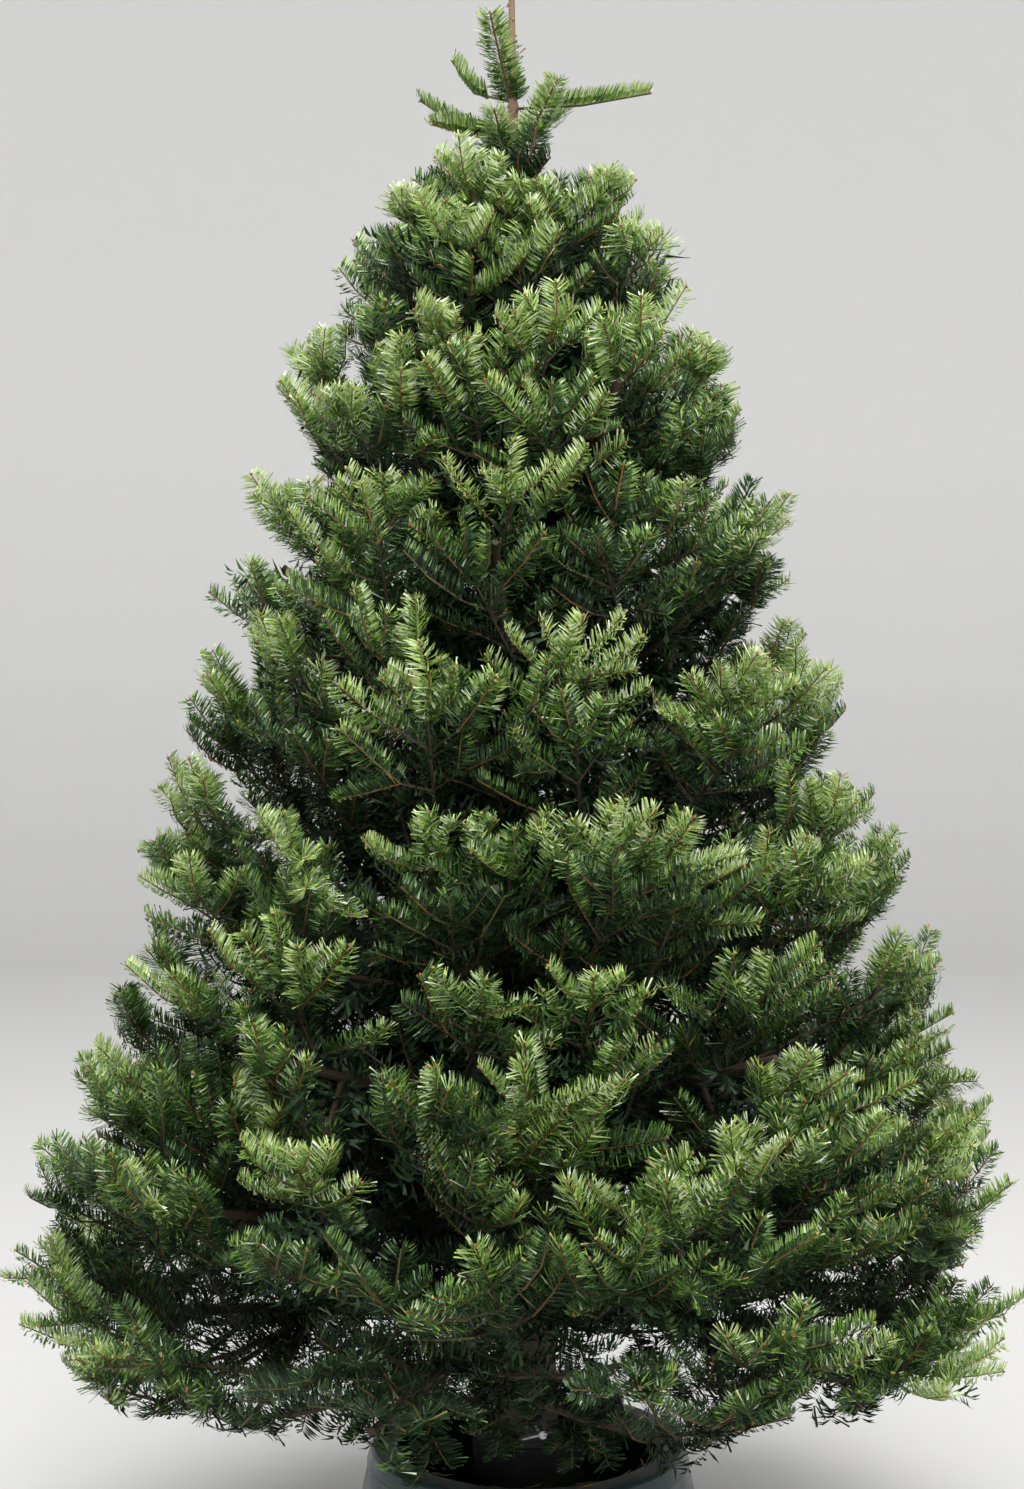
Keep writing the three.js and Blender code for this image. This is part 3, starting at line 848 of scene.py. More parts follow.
    def bed(self, t: int, k: int) -> Bed:
        """Work out what one mass lays its sprays by.

        Args:
            t: The tier, from 0 at the foot.
            k: The mass in it, from 0.

        Returns:
            The mass's bed.
        """
        cell = self.cell(t, k)
        reach = self.face(cell, 0, 1)
        room = (cell.high.at(reach) - cell.low.at(reach)) / 2
        tilt = math.degrees(math.atan(cell.middle.slope))
        return Bed(cell, tilt, reach, room, self.first(t, reach) + self.first_twig)

    def laid(self, bed: Bed, azimuth: float, level: float, share: float, length: float, turn: float) -> Spray:
        """Lay a spray with its tip on a share of the crown's face.

        Args:
            bed: The mass's bed.
            azimuth: Where round the trunk it points.
            level: Its height in the mass, from -1 to 1.
            share: How far out its tip lies, as a share of the crown's radius.
            length: Its length.
            turn: How much more than the mass it rises, in degrees.

        Returns:
            The spray, with no twig yet.
        """
        offset = level * bed.room + 0.5 * length * math.sin(math.radians(turn))
        r = self.face(bed.cell, offset, share)
        along = heading(azimuth, bed.tilt + turn)
        root = self.polar(azimuth, r, bed.cell.middle.at(r) + offset) - along * length
        return Spray(root, root, along, length, self.spray_width, 0.0, True, level)

    def sprays(self, t: int, k: int) -> list[Spray]:
        """Lay out the sprays of one mass and fit them to its cell.

        Args:
            t: The tier, from 0 at the foot.
            k: The mass in it, from 0.

        Returns:
            Two rows near the crown's face, one at the stem's tip where no other has that place,
            and one or two further in. Over the stand's front the lower row is held back.
        """
        tier, bed, seed = self.tiers[t], self.bed(t, k), 10 * t + k
        middle, half = bed.cell.azimuth, bed.cell.half
        rise = self.rises[0] + (self.rises[1] - self.rises[0]) * t / (len(self.tiers) - 1)
        wanted: list[tuple[float, float, float, float, int, float]] = []
        for row in range(2):
            for c in range(tier.columns):
                key = 20 * row + c
                across = (c + 0.5 + 0.18 * swing(seed, key, 0)) / tier.columns * 2 - 1
                level = self.row_share * (2 * row - 1) + 0.06 * swing(seed, key, 1)
                share = self.tip_share - self.tip_spread * chance(seed, key, 2)
                length = tier.length * (1 + self.length_swing * swing(seed, key, 5))
                wanted.append((middle + across * half * 0.95, level, share, length, key, 0))
        if tier.columns % 2 == 0:
            wanted.append((middle, 0, self.tip_share - 0.01, tier.length, 80, 0))
        inner = min(tier.columns - 1, 2)
        for c in range(inner):
            azimuth = middle + ((c + 0.5) / inner * 2 - 1) * half * 0.8
            level = self.inner_level * (1 if c % 2 == 0 else -1)
            length = tier.length * self.inner_size
            wanted.append((azimuth, level, self.inner_share, length, 60 + c, self.inner_rise))
        found = []
        for azimuth, level, share, length, key, extra in wanted:
            lifted = t == 0 and level <= 0 and self.front_part[0] < azimuth < self.front_part[1]
            share = min(share, self.front_share) if lifted else share
            turn = rise + extra + 6 * swing(seed, key, 3)
            outer = share > self.inner_share
            width = self.spray_width if outer else self.inner_width
            roll = self.roll_swing * swing(seed, key, 4)
            spray = self.laid(bed, azimuth, level, share, length, turn)
            spray = self.fitted(bed, replace(spray, width=width, roll=roll, outer=outer, lifted=lifted))
            if spray:
                found.append(spray)
        return found

    def between(self, t: int, k: int) -> list[Spray]:
        """Lay out the sprays that cover a mass's partings.

        Args:
            t: The tier, from 0 at the foot.
            k: The mass in it, from 0.

        Returns:
            One spray over the parting to the next mass of the tier, and in the second tier two more
            over the parting to the tier above.
        """
        tier, bed, seed = self.tiers[t], self.bed(t, k), 700 + 10 * t + k
        found = []
        for c, (across, level) in enumerate(self.cover_places if t == 1 else self.cover_places[:1]):
            if c == 0:
                level *= swing(seed, 0, 0)
            turn = 22 + 8 * swing(seed, c, 1)
            length = tier.length * (1.05 + self.length_swing * swing(seed, c, 2))
            azimuth = bed.cell.azimuth + bed.cell.half * across + 4 * swing(seed, c, 3)
            spray = self.laid(bed, azimuth, level, 0.96, length, turn)
            roll = self.roll_swing * swing(seed, c, 4)
            found.append(replace(spray, start=self.twig_start(bed, spray.root), roll=roll))
        return found

    def fitted(self, bed: Bed, wanted: Spray) -> Spray | None:
        """Move a spray a little or make it smaller until it keeps to its cell.

        Args:
            bed: The mass's bed.
            wanted: The spray in its first place, with no twig yet.

        Returns:
            The spray, or None where there is no room.
        """
        rim = OUTER_RIM if wanted.outer else INNER_RIM
        for size in (1, 0.9, 0.8, 0.7, 0.6, 0.5):
            for step in (0, 1, -1, 2, -2, 3, -3):
                length = wanted.length * size
                root = wanted.root + wanted.along * (wanted.length - length) + UP * (self.nudge * step)
                start = self.twig_start(bed, root)
                roll = wanted.roll + 0.06 * step
                spray = replace(wanted, start=start, root=root, length=length, roll=roll)
                twig = [start + (root - start) * share for share in (0.3, 0.6, 0.85)]
                points = np.array([spray.at(u, v) for u, v in rim] + twig)
                if self.inside(bed.cell, points).all():
                    return spray
        return None

    def twig_start(self, bed: Bed, root: Array) -> Array:
        """Find where on the stem a spray's twig starts, so that it leaves at the twigs' angle.

        Args:
            bed: The mass's bed.
            root: The twig's other end.

        Returns:
            The point on the stem.
        """
        away = root - self.trunk.axis(root[2])
        turn = math.atan2(away[1], away[0]) - math.radians(bed.cell.azimuth)
        r = math.hypot(away[0], away[1])
        side = abs(r * math.sin(turn))
        out = r * math.cos(turn) - side / math.tan(math.radians(self.twig_angle)) - 0.020
        last = bed.reach * (self.stem_share + 0.02)
        return self.stem(bed.cell, bed.reach, min(max(out, bed.first), last))


# Shoots, twigs and needles


VECTORS = ("base", "tip", "up")
MEASURES = ("arch", "radius", "bare", "pitch", "spread", "needle", "width", "tone", "pale")
SHOOT = np.dtype([(n, "f8", 3) for n in VECTORS] + [(n, "f8") for n in MEASURES] + [("age", "i4")])


class Seed(IntEnum):
    """Where each kind of random draw starts."""

    RIPPLE = 3
    BUDS = 9
    BLISTERS = 21
    TWIGS = 31
    BOUGH = 40
    LITTER = 77
    CORE = 300
    NEEDLES = 500
    TOP_NEEDLES = 550
    MASS = 1000


class Age(Enum):
    """How old the wood of a shoot is, or where it stands."""

    NEW = 0
    OLD = 1
    INNER = 2
    LEADER = 3


@dataclass(frozen=True)
class Habit:
    """How wood of one age carries its needles: needles to a metre, their spread and their size."""

    pitch: float
    spread: float
    needle: float
    width: float
    bare: float = 0.02


HABITS = {
    Age.NEW: Habit(1480, 98, 0.0255, 0.0019),
    Age.OLD: Habit(460, 110, 0.0265, 0.0025),
    Age.INNER: Habit(290, 150, 0.0330, 0.0046, 0.04),
    Age.LEADER: Habit(300, 180, 0.0220, 0.0022, 0.0),
}


@dataclass
class Growth:
    """What one tier grows: its shoots, and the twigs and stems that carry them."""

    shoots: list[tuple] = field(default_factory=list)
    twigs: list[Array] = field(default_factory=list)
    stems: list[Array] = field(default_factory=list)

    def table(self) -> Array:
        """The shoots as one table."""
        return np.array(self.shoots, dtype=SHOOT)

    def add(self, path: tuple[Array, Array, Array], age: Age, form: Pair, light: Pair, **kept: float) -> None:
        """Add one shoot.

        Args:
            path: Where it starts and ends, and the side that its needles sweep to.
            age: Its age, which gives its habit.
            form: Radius of its wood at its base, and its sag as a share of its length.
            light: Its needles' place on the scale of tints, and how much paler it is beneath than most.
            kept: Parts of the habit that differ on this shoot.
        """
        habit = replace(HABITS[age], **kept)
        base, tip, up = path
        up = square_to(up, (tip - base) / np.linalg.norm(tip - base))
        size = (habit.bare, habit.pitch, habit.spread, habit.needle, habit.width)
        self.shoots.append((base, tip, up, form[1], form[0], *size, *light, age.value))


def shoot_path(shoots: Array, s: Array) -> tuple[Array, Array]:
    """Follow shoots from base to tip.

    The path is base + s chord + (s s - s) arch length up, so it sags and turns up to its tip.

    Args:
        shoots: Rows of the shoot table.
        s: A share along each.

    Returns:
        The points and the unit tangents.
    """
    chord = shoots["tip"] - shoots["base"]
    length = np.linalg.norm(chord, axis=-1)
    lift = (shoots["arch"] * length)[:, None] * shoots["up"]
    points = shoots["base"] + s[:, None] * chord + (s * s - s)[:, None] * lift
    return points, unit(chord + (2 * s - 1)[:, None] * lift)


@dataclass
class Brancher:
    """Carries the sprays of one mass on to single shoots."""

    rule: GrowthRule
    growth: Growth
    rng: np.random.Generator
    tip_inset: float = 0.010
    shortest: float = 0.022
    sway: float = 0.10
    forks: tuple[tuple[float, float, float, float, float], ...] = (
        (0.38, 0.52, 0.14, 0.83, 0.37),
        (0.10, 0.20, 0.15, 0.43, 0.47),
    )
    side_chance: float = 0.5
    # These weights paint shade and light into the needles' tints: darker inside, low down, in the lower row
    # and over the stand, lighter high up and at the top.
    depth_shade: float = 3.8
    height_light: float = 0.55
    crown_top_light: float = 1.2
    stand_shade: float = 2.6
    age_and_inner_shade_tones: Triple = (0.2, -0.6, -1.9)
    row_level_shade: float = 1.1
    drooping_mood: float = 2.6
    crest_mood: float = 1.1
    lifted_shade: float = 1.1
    flat_shade: float = 2.6
    core_top: float = 1.66
    loose_reach: float = 1.02
    upper_growth: float = 0.20
    upper_narrowing: float = 0.22
    drawn_azimuth: float = -20
    flat_part: Pair = (240, 288)
    flat_length: float = 0.78
    flat_lift: float = 0.072
    pinch: float = 0.13
    pinched: Pair = (1.42, 1.78)
    mood: float = 0.0
    shaded: Age = Age.INNER
    broad: float = 1.0

    def tone(self, point: Array, age: Age) -> float:
        """How light a shoot's needles are: more so out at the face, high up and on new growth, less so over
        the stand; all but new growth is painted light and shade.

        Args:
            point: The shoot's middle.
            age: Its age.

        Returns:
            A place on the scale of the needles' tints.
        """
        away = point - self.rule.trunk.axis(point[2])
        depth = math.hypot(away[0], away[1]) / float(self.rule.radius(point[2]))
        # Painted shade and light: darker towards the crown's inside and low down, lighter high up.
        value = self.depth_shade * (depth - 0.54) / 0.46 + self.height_light * (point[2] - 1.1)
        # Painted light: lighter still at the crown's top.
        value += self.crown_top_light * climb(point[2], 1.50, 0.25)
        # Painted shade: darker low over the stand, under the crown.
        over_stand = climb(math.hypot(away[0], away[1]), 0.54, -0.10) * climb(point[2], 0.46, -0.10)
        # The spray's offset carries its painted row shade; shoots inside get a darker tone as painted shade,
        # new and old ones their own tones.
        value += self.mood - self.stand_shade * over_stand + self.age_and_inner_shade_tones[age.value]
        return float(np.clip(value + self.rng.normal(0, 0.4), 0, 4.2))

    def shoot(self, base: Array, tip: Array, age: Age, radius: float, arch: float = 0.10) -> None:
        """Add one shoot, with its own small swing, needle length and tone.

        Args:
            base: Where it starts.
            tip: Where it ends.
            age: Its age.
            radius: Radius of its wood at its base.
            arch: How far it sags, as a share of its length.
        """
        rng = self.rng
        chord = tip - base
        length = float(np.linalg.norm(chord))
        if length < self.shortest:
            return
        if age is Age.NEW:
            chord = chord * rng.uniform(0.84, 1.08) + rng.normal(0, self.sway * length, 3)
            tip = base + chord
            arch += rng.uniform(-0.12, 0.28)
        beside = unit(np.cross(chord, UP))
        up = UP + rng.normal(0, 0.5) * beside
        tone = self.tone((base + tip) / 2, age)
        habit = HABITS[age]
        upper = climb(float(base[2]), 1.42, 0.2)
        needle = habit.needle * rng.uniform(0.86, 1.10) * (1 + self.upper_growth * upper)
        spread = habit.spread * rng.uniform(0.78, 1.45) * (1 - self.upper_narrowing * upper)
        width = habit.width * (self.broad if age is Age.INNER else 1)
        pale = rng.normal(0, 0.6)
        path, light = (base, tip, up), (tone, pale)
        self.growth.add(path, age, (radius, arch), light, needle=needle, spread=spread, width=width)

    def near(self, spray: Spray, u: float, v: float, w: float, spread: float = 0.02) -> Array:
        """A point on a spray with a small random step, all as shares of its length."""
        du, dv, dw = self.rng.normal(0, spread, 3)
        return spray.at(u + du, v + dv, w + dw)

    def outer_spray(self, spray: Spray) -> None:
        """Grow a spray at the crown's face.

        A leading shoot and a pair beside it end its axis. Lower down two pairs of side branches each
        carry a shoot and a smaller one beside that, and one or two shoots stand up from the axis.

        Args:
            spray: The spray.
        """
        size, rng = spray.length, self.rng
        node = self.near(spray, 0.60, 0, 0)
        self.shoot(spray.root, node, Age.OLD, 0.0026, 0.04)
        tip = self.near(spray, 1 - self.tip_inset / size, 0, 0.09)
        self.shoot(node, tip, Age.NEW, 0.0016, 0.20)
        for side in (-1, 1):
            self.shoot(node, self.near(spray, 0.89, 0.23 * side, 0.08, 0.03), Age.NEW, 0.0014, 0.16)
            for start, u, v, end_u, end_v in self.forks:
                foot = spray.at(start, 0)
                knee = self.near(spray, u, v * side, -0.01)
                self.shoot(foot, knee, Age.OLD, 0.0019, 0.03)
                end = self.near(spray, end_u, end_v * side, 0.07, 0.03)
                self.shoot(knee, end, Age.NEW, 0.0015, 0.16)
                if rng.random() < self.side_chance:
                    self.side_shoot(spray, knee, unit(knee - foot), 1 if rng.random() < 0.5 else -1)
        for u in (0.30, 0.58):
            if rng.random() < 0.8:
                lean = rng.uniform(0.5, 1.1) * spray.normal + 0.5 * rng.normal() * spray.across
                end = spray.at(u, 0) + unit(spray.along + lean) * size * rng.uniform(0.24, 0.36)
                self.shoot(spray.at(u, 0), end, Age.NEW, 0.0014)

    def side_shoot(self, spray: Spray, base: Array, aim: Array, turn: int) -> None:
        """Add one shoot that leaves a node beside its leading shoot.

        Args:
            spray: The spray that it belongs to.
            base: The node.
            aim: The way that the leading shoot goes.
            turn: 1 for the left, -1 for the right.
        """
        lean = turn * self.rng.uniform(0.6, 1.1) * np.cross(spray.normal, aim)
        side = unit(aim + lean + self.rng.uniform(0.0, 0.5) * spray.normal)
        self.shoot(base, base + side * spray.length * self.rng.uniform(0.25, 0.36), Age.NEW, 0.0013)

    def inner_spray(self, spray: Spray) -> None:
        """Grow a shaded spray inside the crown: a middle shoot and two pairs.

        Args:
            spray: The spray.
        """
        node = self.near(spray, 0.55, 0, 0)
        self.shoot(spray.root, node, self.shaded, 0.0028, 0.04)
        self.shoot(node, self.near(spray, 0.97, 0, 0.05), Age.OLD, 0.0020)
        for side in (-1, 1):
            start = spray.at(self.rng.uniform(0.15, 0.3), 0)
            self.shoot(start, self.near(spray, 0.62, 0.38 * side, 0.05, 0.03), self.shaded, 0.0)
            self.shoot(node, self.near(spray, 0.85, 0.26 * side, 0.05, 0.03), Age.OLD, 0.0018)

    def drooping(self, azimuth: float) -> None:
        """Hang a weak spray from the lowest boughs, outside the stand's rim.

        Args:
            azimuth: Where round the trunk it hangs.
        """
        rng = self.rng
        # A lighter offset that cancels most of the painted shade over the stand, so that these stay dull
        # rather than dark.
        self.mood = self.drooping_mood
        turn = azimuth + rng.normal(0, 3)
        base = self.rule.polar(turn, rng.uniform(0.22, 0.27), rng.uniform(0.36, 0.41))
        aim = heading(azimuth + rng.normal(0, 10), -rng.uniform(38, 58))
        length = rng.uniform(0.11, 0.17)
        node = base + aim * length * 0.62
        self.shoot(base, node, Age.NEW, 0.0020, 0.15)
        self.shoot(node, base + aim * length, Age.NEW, 0.0016, 0.25)
        beside = heading(azimuth + 90, -15)
        for share, reach in ((0.25, 0.065), (0.62, 0.050)):
            for side in (-1, 1):
                start = base + aim * length * share
                out = unit(aim + side * rng.uniform(0.6, 1.1) * beside)
                tip = start + out * reach * rng.uniform(0.7, 1.2)
                self.shoot(start, tip, Age.NEW, 0.0013, 0.2)

    def twig(self, spray: Spray) -> None:
        """Grow the twig to a spray, clothed with old needles and short shaded side shoots.

        Args:
            spray: The spray at its end.
        """
        start, end = spray.start, spray.root
        chord = end - start
        length = float(np.linalg.norm(chord))
        s = np.array([0, 0.35, 0.7, 1.0])
        self.growth.twigs.append(start + s[:, None] * chord - UP * ((s - s * s) * 0.2 * length)[:, None])
        if length < 0.03:
            return
        self.shoot(start, end, self.shaded, 0.0, 0.2)
        along = chord / length
        across = unit(np.cross(UP, along))
        count = max(1, round(length / 0.045))
        for i in range(count):
            side = 1 if (i + len(self.growth.twigs)) % 2 else -1
            base = start + chord * (i + 0.6) / count - UP * 0.03 * length
            aim = unit(along + 0.9 * side * across + self.rng.normal(0, 0.3) * UP)
            self.shoot(base, base + aim * self.rng.uniform(0.05, 0.09), self.shaded, 0.0)

    def stem(self, t: int, k: int) -> None:
        """Grow a mass's stem, with shaded shoots along it and along the bough that carries it.

        Args:
            t: The tier, from 0 at the foot.
            k: The mass in it, from 0.
        """
        rng = self.rng
        cell = self.rule.cell(t, k)
        reach = self.rule.face(cell, 0, 1)
        first = self.rule.first(t, reach)
        last = reach * self.rule.stem_share
        self.growth.stems.append(self.rule.stem(cell, reach, np.linspace(first, last, 7)))
        beside = heading(cell.azimuth + 90, 0)
        out = heading(cell.azimuth, math.degrees(math.atan(cell.middle.slope)))
        count = 18 if first > 0 else 8
        for i in range(count):
            base = self.rule.stem(cell, reach, reach * (0.16 + 0.64 * (i + rng.random()) / count))
            side = 1 if i % 2 else -1
            aim = unit(out + side * rng.uniform(0.6, 1.3) * beside + rng.normal(0, 0.4) * UP)
            self.shoot(base, base + aim * rng.uniform(0.06, 0.11), self.shaded, 0.0)

    def core(self, t: int, count: int) -> None:
        """Grow shaded twigs from the trunk between a tier's lowest and highest stems.

        Args:
            t: The tier's number from the foot.
            count: How many grow.
        """
        trunk, rng = self.rule.trunk, self.rng
        cell = self.rule.cell(t, 0)
        low, high = cell.low.at(0.0), min(cell.high.at(0.0), self.core_top)
        longest = 0.40 if t == 0 else 0.26
        for i in range(count):
            height = low + (high - low) * (i + rng.random()) / count
            azimuth = GOLDEN_ANGLE * i + 40 * t + rng.normal(0, 12)
            aim = heading(azimuth, rng.uniform(0, 22) if t == 0 else rng.uniform(5, 38))
            reach = rng.uniform(0.40, 0.68) * float(self.rule.radius(height + 0.1))
            base = trunk.axis(height) + aim * 0.6 * float(trunk.radius(height))
            tip = base + aim * min(reach, longest)
            self.shoot(base, tip, self.shaded, 0.0024, 0.2)
            for j in range(6 if t == 0 else 4):
                share = 0.3 + 0.15 * j + rng.uniform(-0.06, 0.06)
                start = base + (tip - base) * share / (1.2 if t == 0 else 1)
                side = 1 if j % 2 else -1
                beside = side * rng.uniform(0.6, 1.0) * heading(azimuth + 90, 0)
                self.shoot(start, start + unit(aim + beside) * rng.uniform(0.05, 0.09), self.shaded, 0.0)

    def crest(self, low: float, high: float, count: int) -> None:
        """Grow plump shoots that stand up close round the trunk, where the crown ends.

        Args:
            low: Height of the lowest on the trunk.
            high: Height of the highest.
            count: How many grow.
        """
        trunk, rng = self.rule.trunk, self.rng
        self.mood = self.crest_mood
        for i in range(count):
            height = low + (high - low) * (i + rng.random()) / count
            aim = heading(GOLDEN_ANGLE * i + rng.normal(0, 15), rng.uniform(30, 58))
            base = trunk.axis(height) + aim * 0.6 * float(trunk.radius(height))
            node = base + aim * rng.uniform(0.03, 0.05)
            self.shoot(base, node, Age.OLD, 0.0028, 0.0)
            self.shoot(node, node + aim * rng.uniform(0.07, 0.10), Age.NEW, 0.0022, 0.15)
            for side in (-1, 1):
                beside = side * rng.uniform(0.5, 1.0) * unit(np.cross(UP, aim))
                self.shoot(node, node + unit(aim + beside) * rng.uniform(0.05, 0.08), Age.NEW, 0.0019, 0.15)

    def loosened(self, spray: Spray) -> Spray:
        """Turn a spray a little off its heading, as its growth and the way home leave it.

        Its tip is drawn in to the reach (1 - pinch sin(pi rise) cos(azimuth)^2) radius, where rise
        goes from 0 to 1 over the part that is pinched on the right.

        Args:
            spray: The spray as the rule lays it.

        Returns:
            The spray with another heading, length and roll.
        """
        rng = self.rng
        aside = rng.normal(0, 0.15) * spray.across + rng.normal(0.03, 0.16) * spray.normal
        along = unit(spray.along + aside)
        length = spray.length * rng.uniform(0.88, 1.12)
        root = spray.root + rng.normal(0, 0.010, 3)
        tip = root + along * length
        away = (tip - self.rule.trunk.axis(tip[2])) * [1, 1, 0]
        turn = math.atan2(away[1], away[0])
        low, high = self.pinched
        rise = climb(tip[2], low, high - low)
        pinch = 1 - self.pinch * math.sin(math.pi * rise) * max(math.cos(turn), 0) ** 2
        over = math.hypot(away[0], away[1]) - self.loose_reach * pinch * float(self.rule.radius(tip[2]))
        root = root - unit(away) * max(over, 0)
        roll = spray.roll + float(rng.normal(0, 0.25))
        return replace(spray, root=root, along=along, length=length, roll=roll)

    def held_in(self, spray: Spray) -> Spray:
        """Shorten and lift one of the foot's low sprays, most of all on the right."""
        turn = math.atan2(spray.along[1], spray.along[0]) - math.radians(self.drawn_azimuth)
        share = 0.84 - 0.14 * max(math.cos(turn), 0) ** 2
        return replace(spray, root=spray.root + 0.02 * UP, length=spray.length * share)

    def flattened(self, spray: Spray) -> Spray:
        """Lift the root of one of the foot's front sprays, so that it clears the view of the stand."""
        tip = spray.at(self.flat_length, 0)
        root = spray.root + self.flat_lift * UP
        length = float(np.linalg.norm(tip - root))
        return replace(spray, root=root, along=(tip - root) / length, length=length)

    def mass(self, t: int, k: int) -> None:
        """Grow one mass: its stem, twigs and sprays.

        Args:
            t: The tier, from 0 at the foot.
            k: The mass in it, from 0.
        """
        foot = t == 0
        self.shaded = Age.OLD if foot else Age.INNER
        self.stem(t, k)
        for spray in self.rule.sprays(t, k) + self.rule.between(t, k):
            if spray.outer:
                spray = self.loosened(spray)
            low = spray.level < 0.2
            if foot and low:
                spray = self.held_in(spray)
            azimuth = math.degrees(math.atan2(spray.along[1], spray.along[0])) % 360
            flat = foot and not low and self.flat_part[0] < azimuth < self.flat_part[1]
            if flat:
                spray = self.flattened(spray)
            # A random tone for each spray, plus painted shade: the lower row darker than the upper, and the
            # lifted and flattened sprays over the stand darker still.
            self.mood = float(self.rng.normal(0, 0.45)) + self.row_level_shade * spray.level
            self.mood -= self.lifted_shade * spray.lifted + self.flat_shade * flat
            self.twig(spray)
            if spray.outer:
                self.outer_spray(spray)
            else:
                self.inner_spray(spray)


@dataclass(frozen=True)
class TopBranch:
    """One branch of the bare top, a single shoot: its place, turn, length and needles."""

    height: float
    azimuth: float
    tilt: float
    upturn: float
    length: float
    bare: float
    spread: float
    tone: float


@dataclass(frozen=True)
class TopGrowth:
    """The loose whorls above the tiers, and the needles that cling to the leader."""

    trunk: TrunkForm
    pitch: float = 3000
    needle: float = 0.0275
    radius: float = 0.0024
    clinging_tone: float = 2.3
    bud_count: int = 22
    branches: tuple[TopBranch, ...] = (
        TopBranch(1.938, 244, 50, 12, 0.120, 0.02, 120, 3.2),
        TopBranch(1.940, 176, -2, 74, 0.100, 0.30, 66, 3.4),
        TopBranch(1.932, 2, 0, 14, 0.182, 0.12, 60, 3.6),
        TopBranch(1.938, 96, 30, 20, 0.124, 0.10, 96, 2.8),
        TopBranch(1.898, 160, 2, 44, 0.146, 0.12, 76, 3.0),
        TopBranch(1.888, 206, -2, 12, 0.118, 0.10, 76, 3.0),
        TopBranch(1.864, 304, 32, 14, 0.130, 0.04, 150, 3.8),
        TopBranch(1.846, 256, 20, 18, 0.116, 0.04, 145, 3.8),
        TopBranch(1.884, 44, 26, 18, 0.126, 0.08, 110, 2.9),
        TopBranch(1.858, 108, 16, 22, 0.124, 0.06, 110, 2.7),
    )
    clinging: tuple[Triple, ...] = (
        (1.790, 1.925, 520),
        (1.945, 2.020, 420),
        (2.020, 2.110, 110),
    )

    def buds(self) -> tuple[Array, Array]:
        """Places and directions of the buds up the leader, on a spiral."""
        low, high = self.trunk.top_whorl + 0.012, self.trunk.height - 0.006
        z = np.linspace(low, high, self.bud_count)
        out = heading(GOLDEN_ANGLE * np.arange(len(z)), 0)
        place = self.trunk.axis(z) + out * (0.9 * self.trunk.radius(z))[:, None]
        return place, unit(0.9 * UP + out)

    def grow(self, growth: Growth) -> None:
        """Add the whorls' shoots and the leader's few needles.

        Args:
            growth: What they are added to.
        """
        for branch in self.branches:
            base = self.trunk.axis(branch.height)
            mean = heading(branch.azimuth, branch.tilt + branch.upturn / 2)
            tip = base + mean * (branch.length - 0.003)
            arch = math.tan(math.radians(branch.upturn / 2))
            kept = {"bare": branch.bare, "spread": branch.spread, "pitch": self.pitch, "needle": self.needle}
            growth.add((base, tip, UP), Age.NEW, (self.radius, arch), (branch.tone, -0.3), **kept)
        side = np.array([1.0, 0.0, 0.0])
        for low, high, pitch in self.clinging:
            base, tip = self.trunk.axis(low), self.trunk.axis(high)
            radius = float(self.trunk.radius((low + high) / 2))
            light = (self.clinging_tone, 0.0)
            growth.add((base, tip, side), Age.LEADER, (radius, 0.0), light, pitch=pitch)


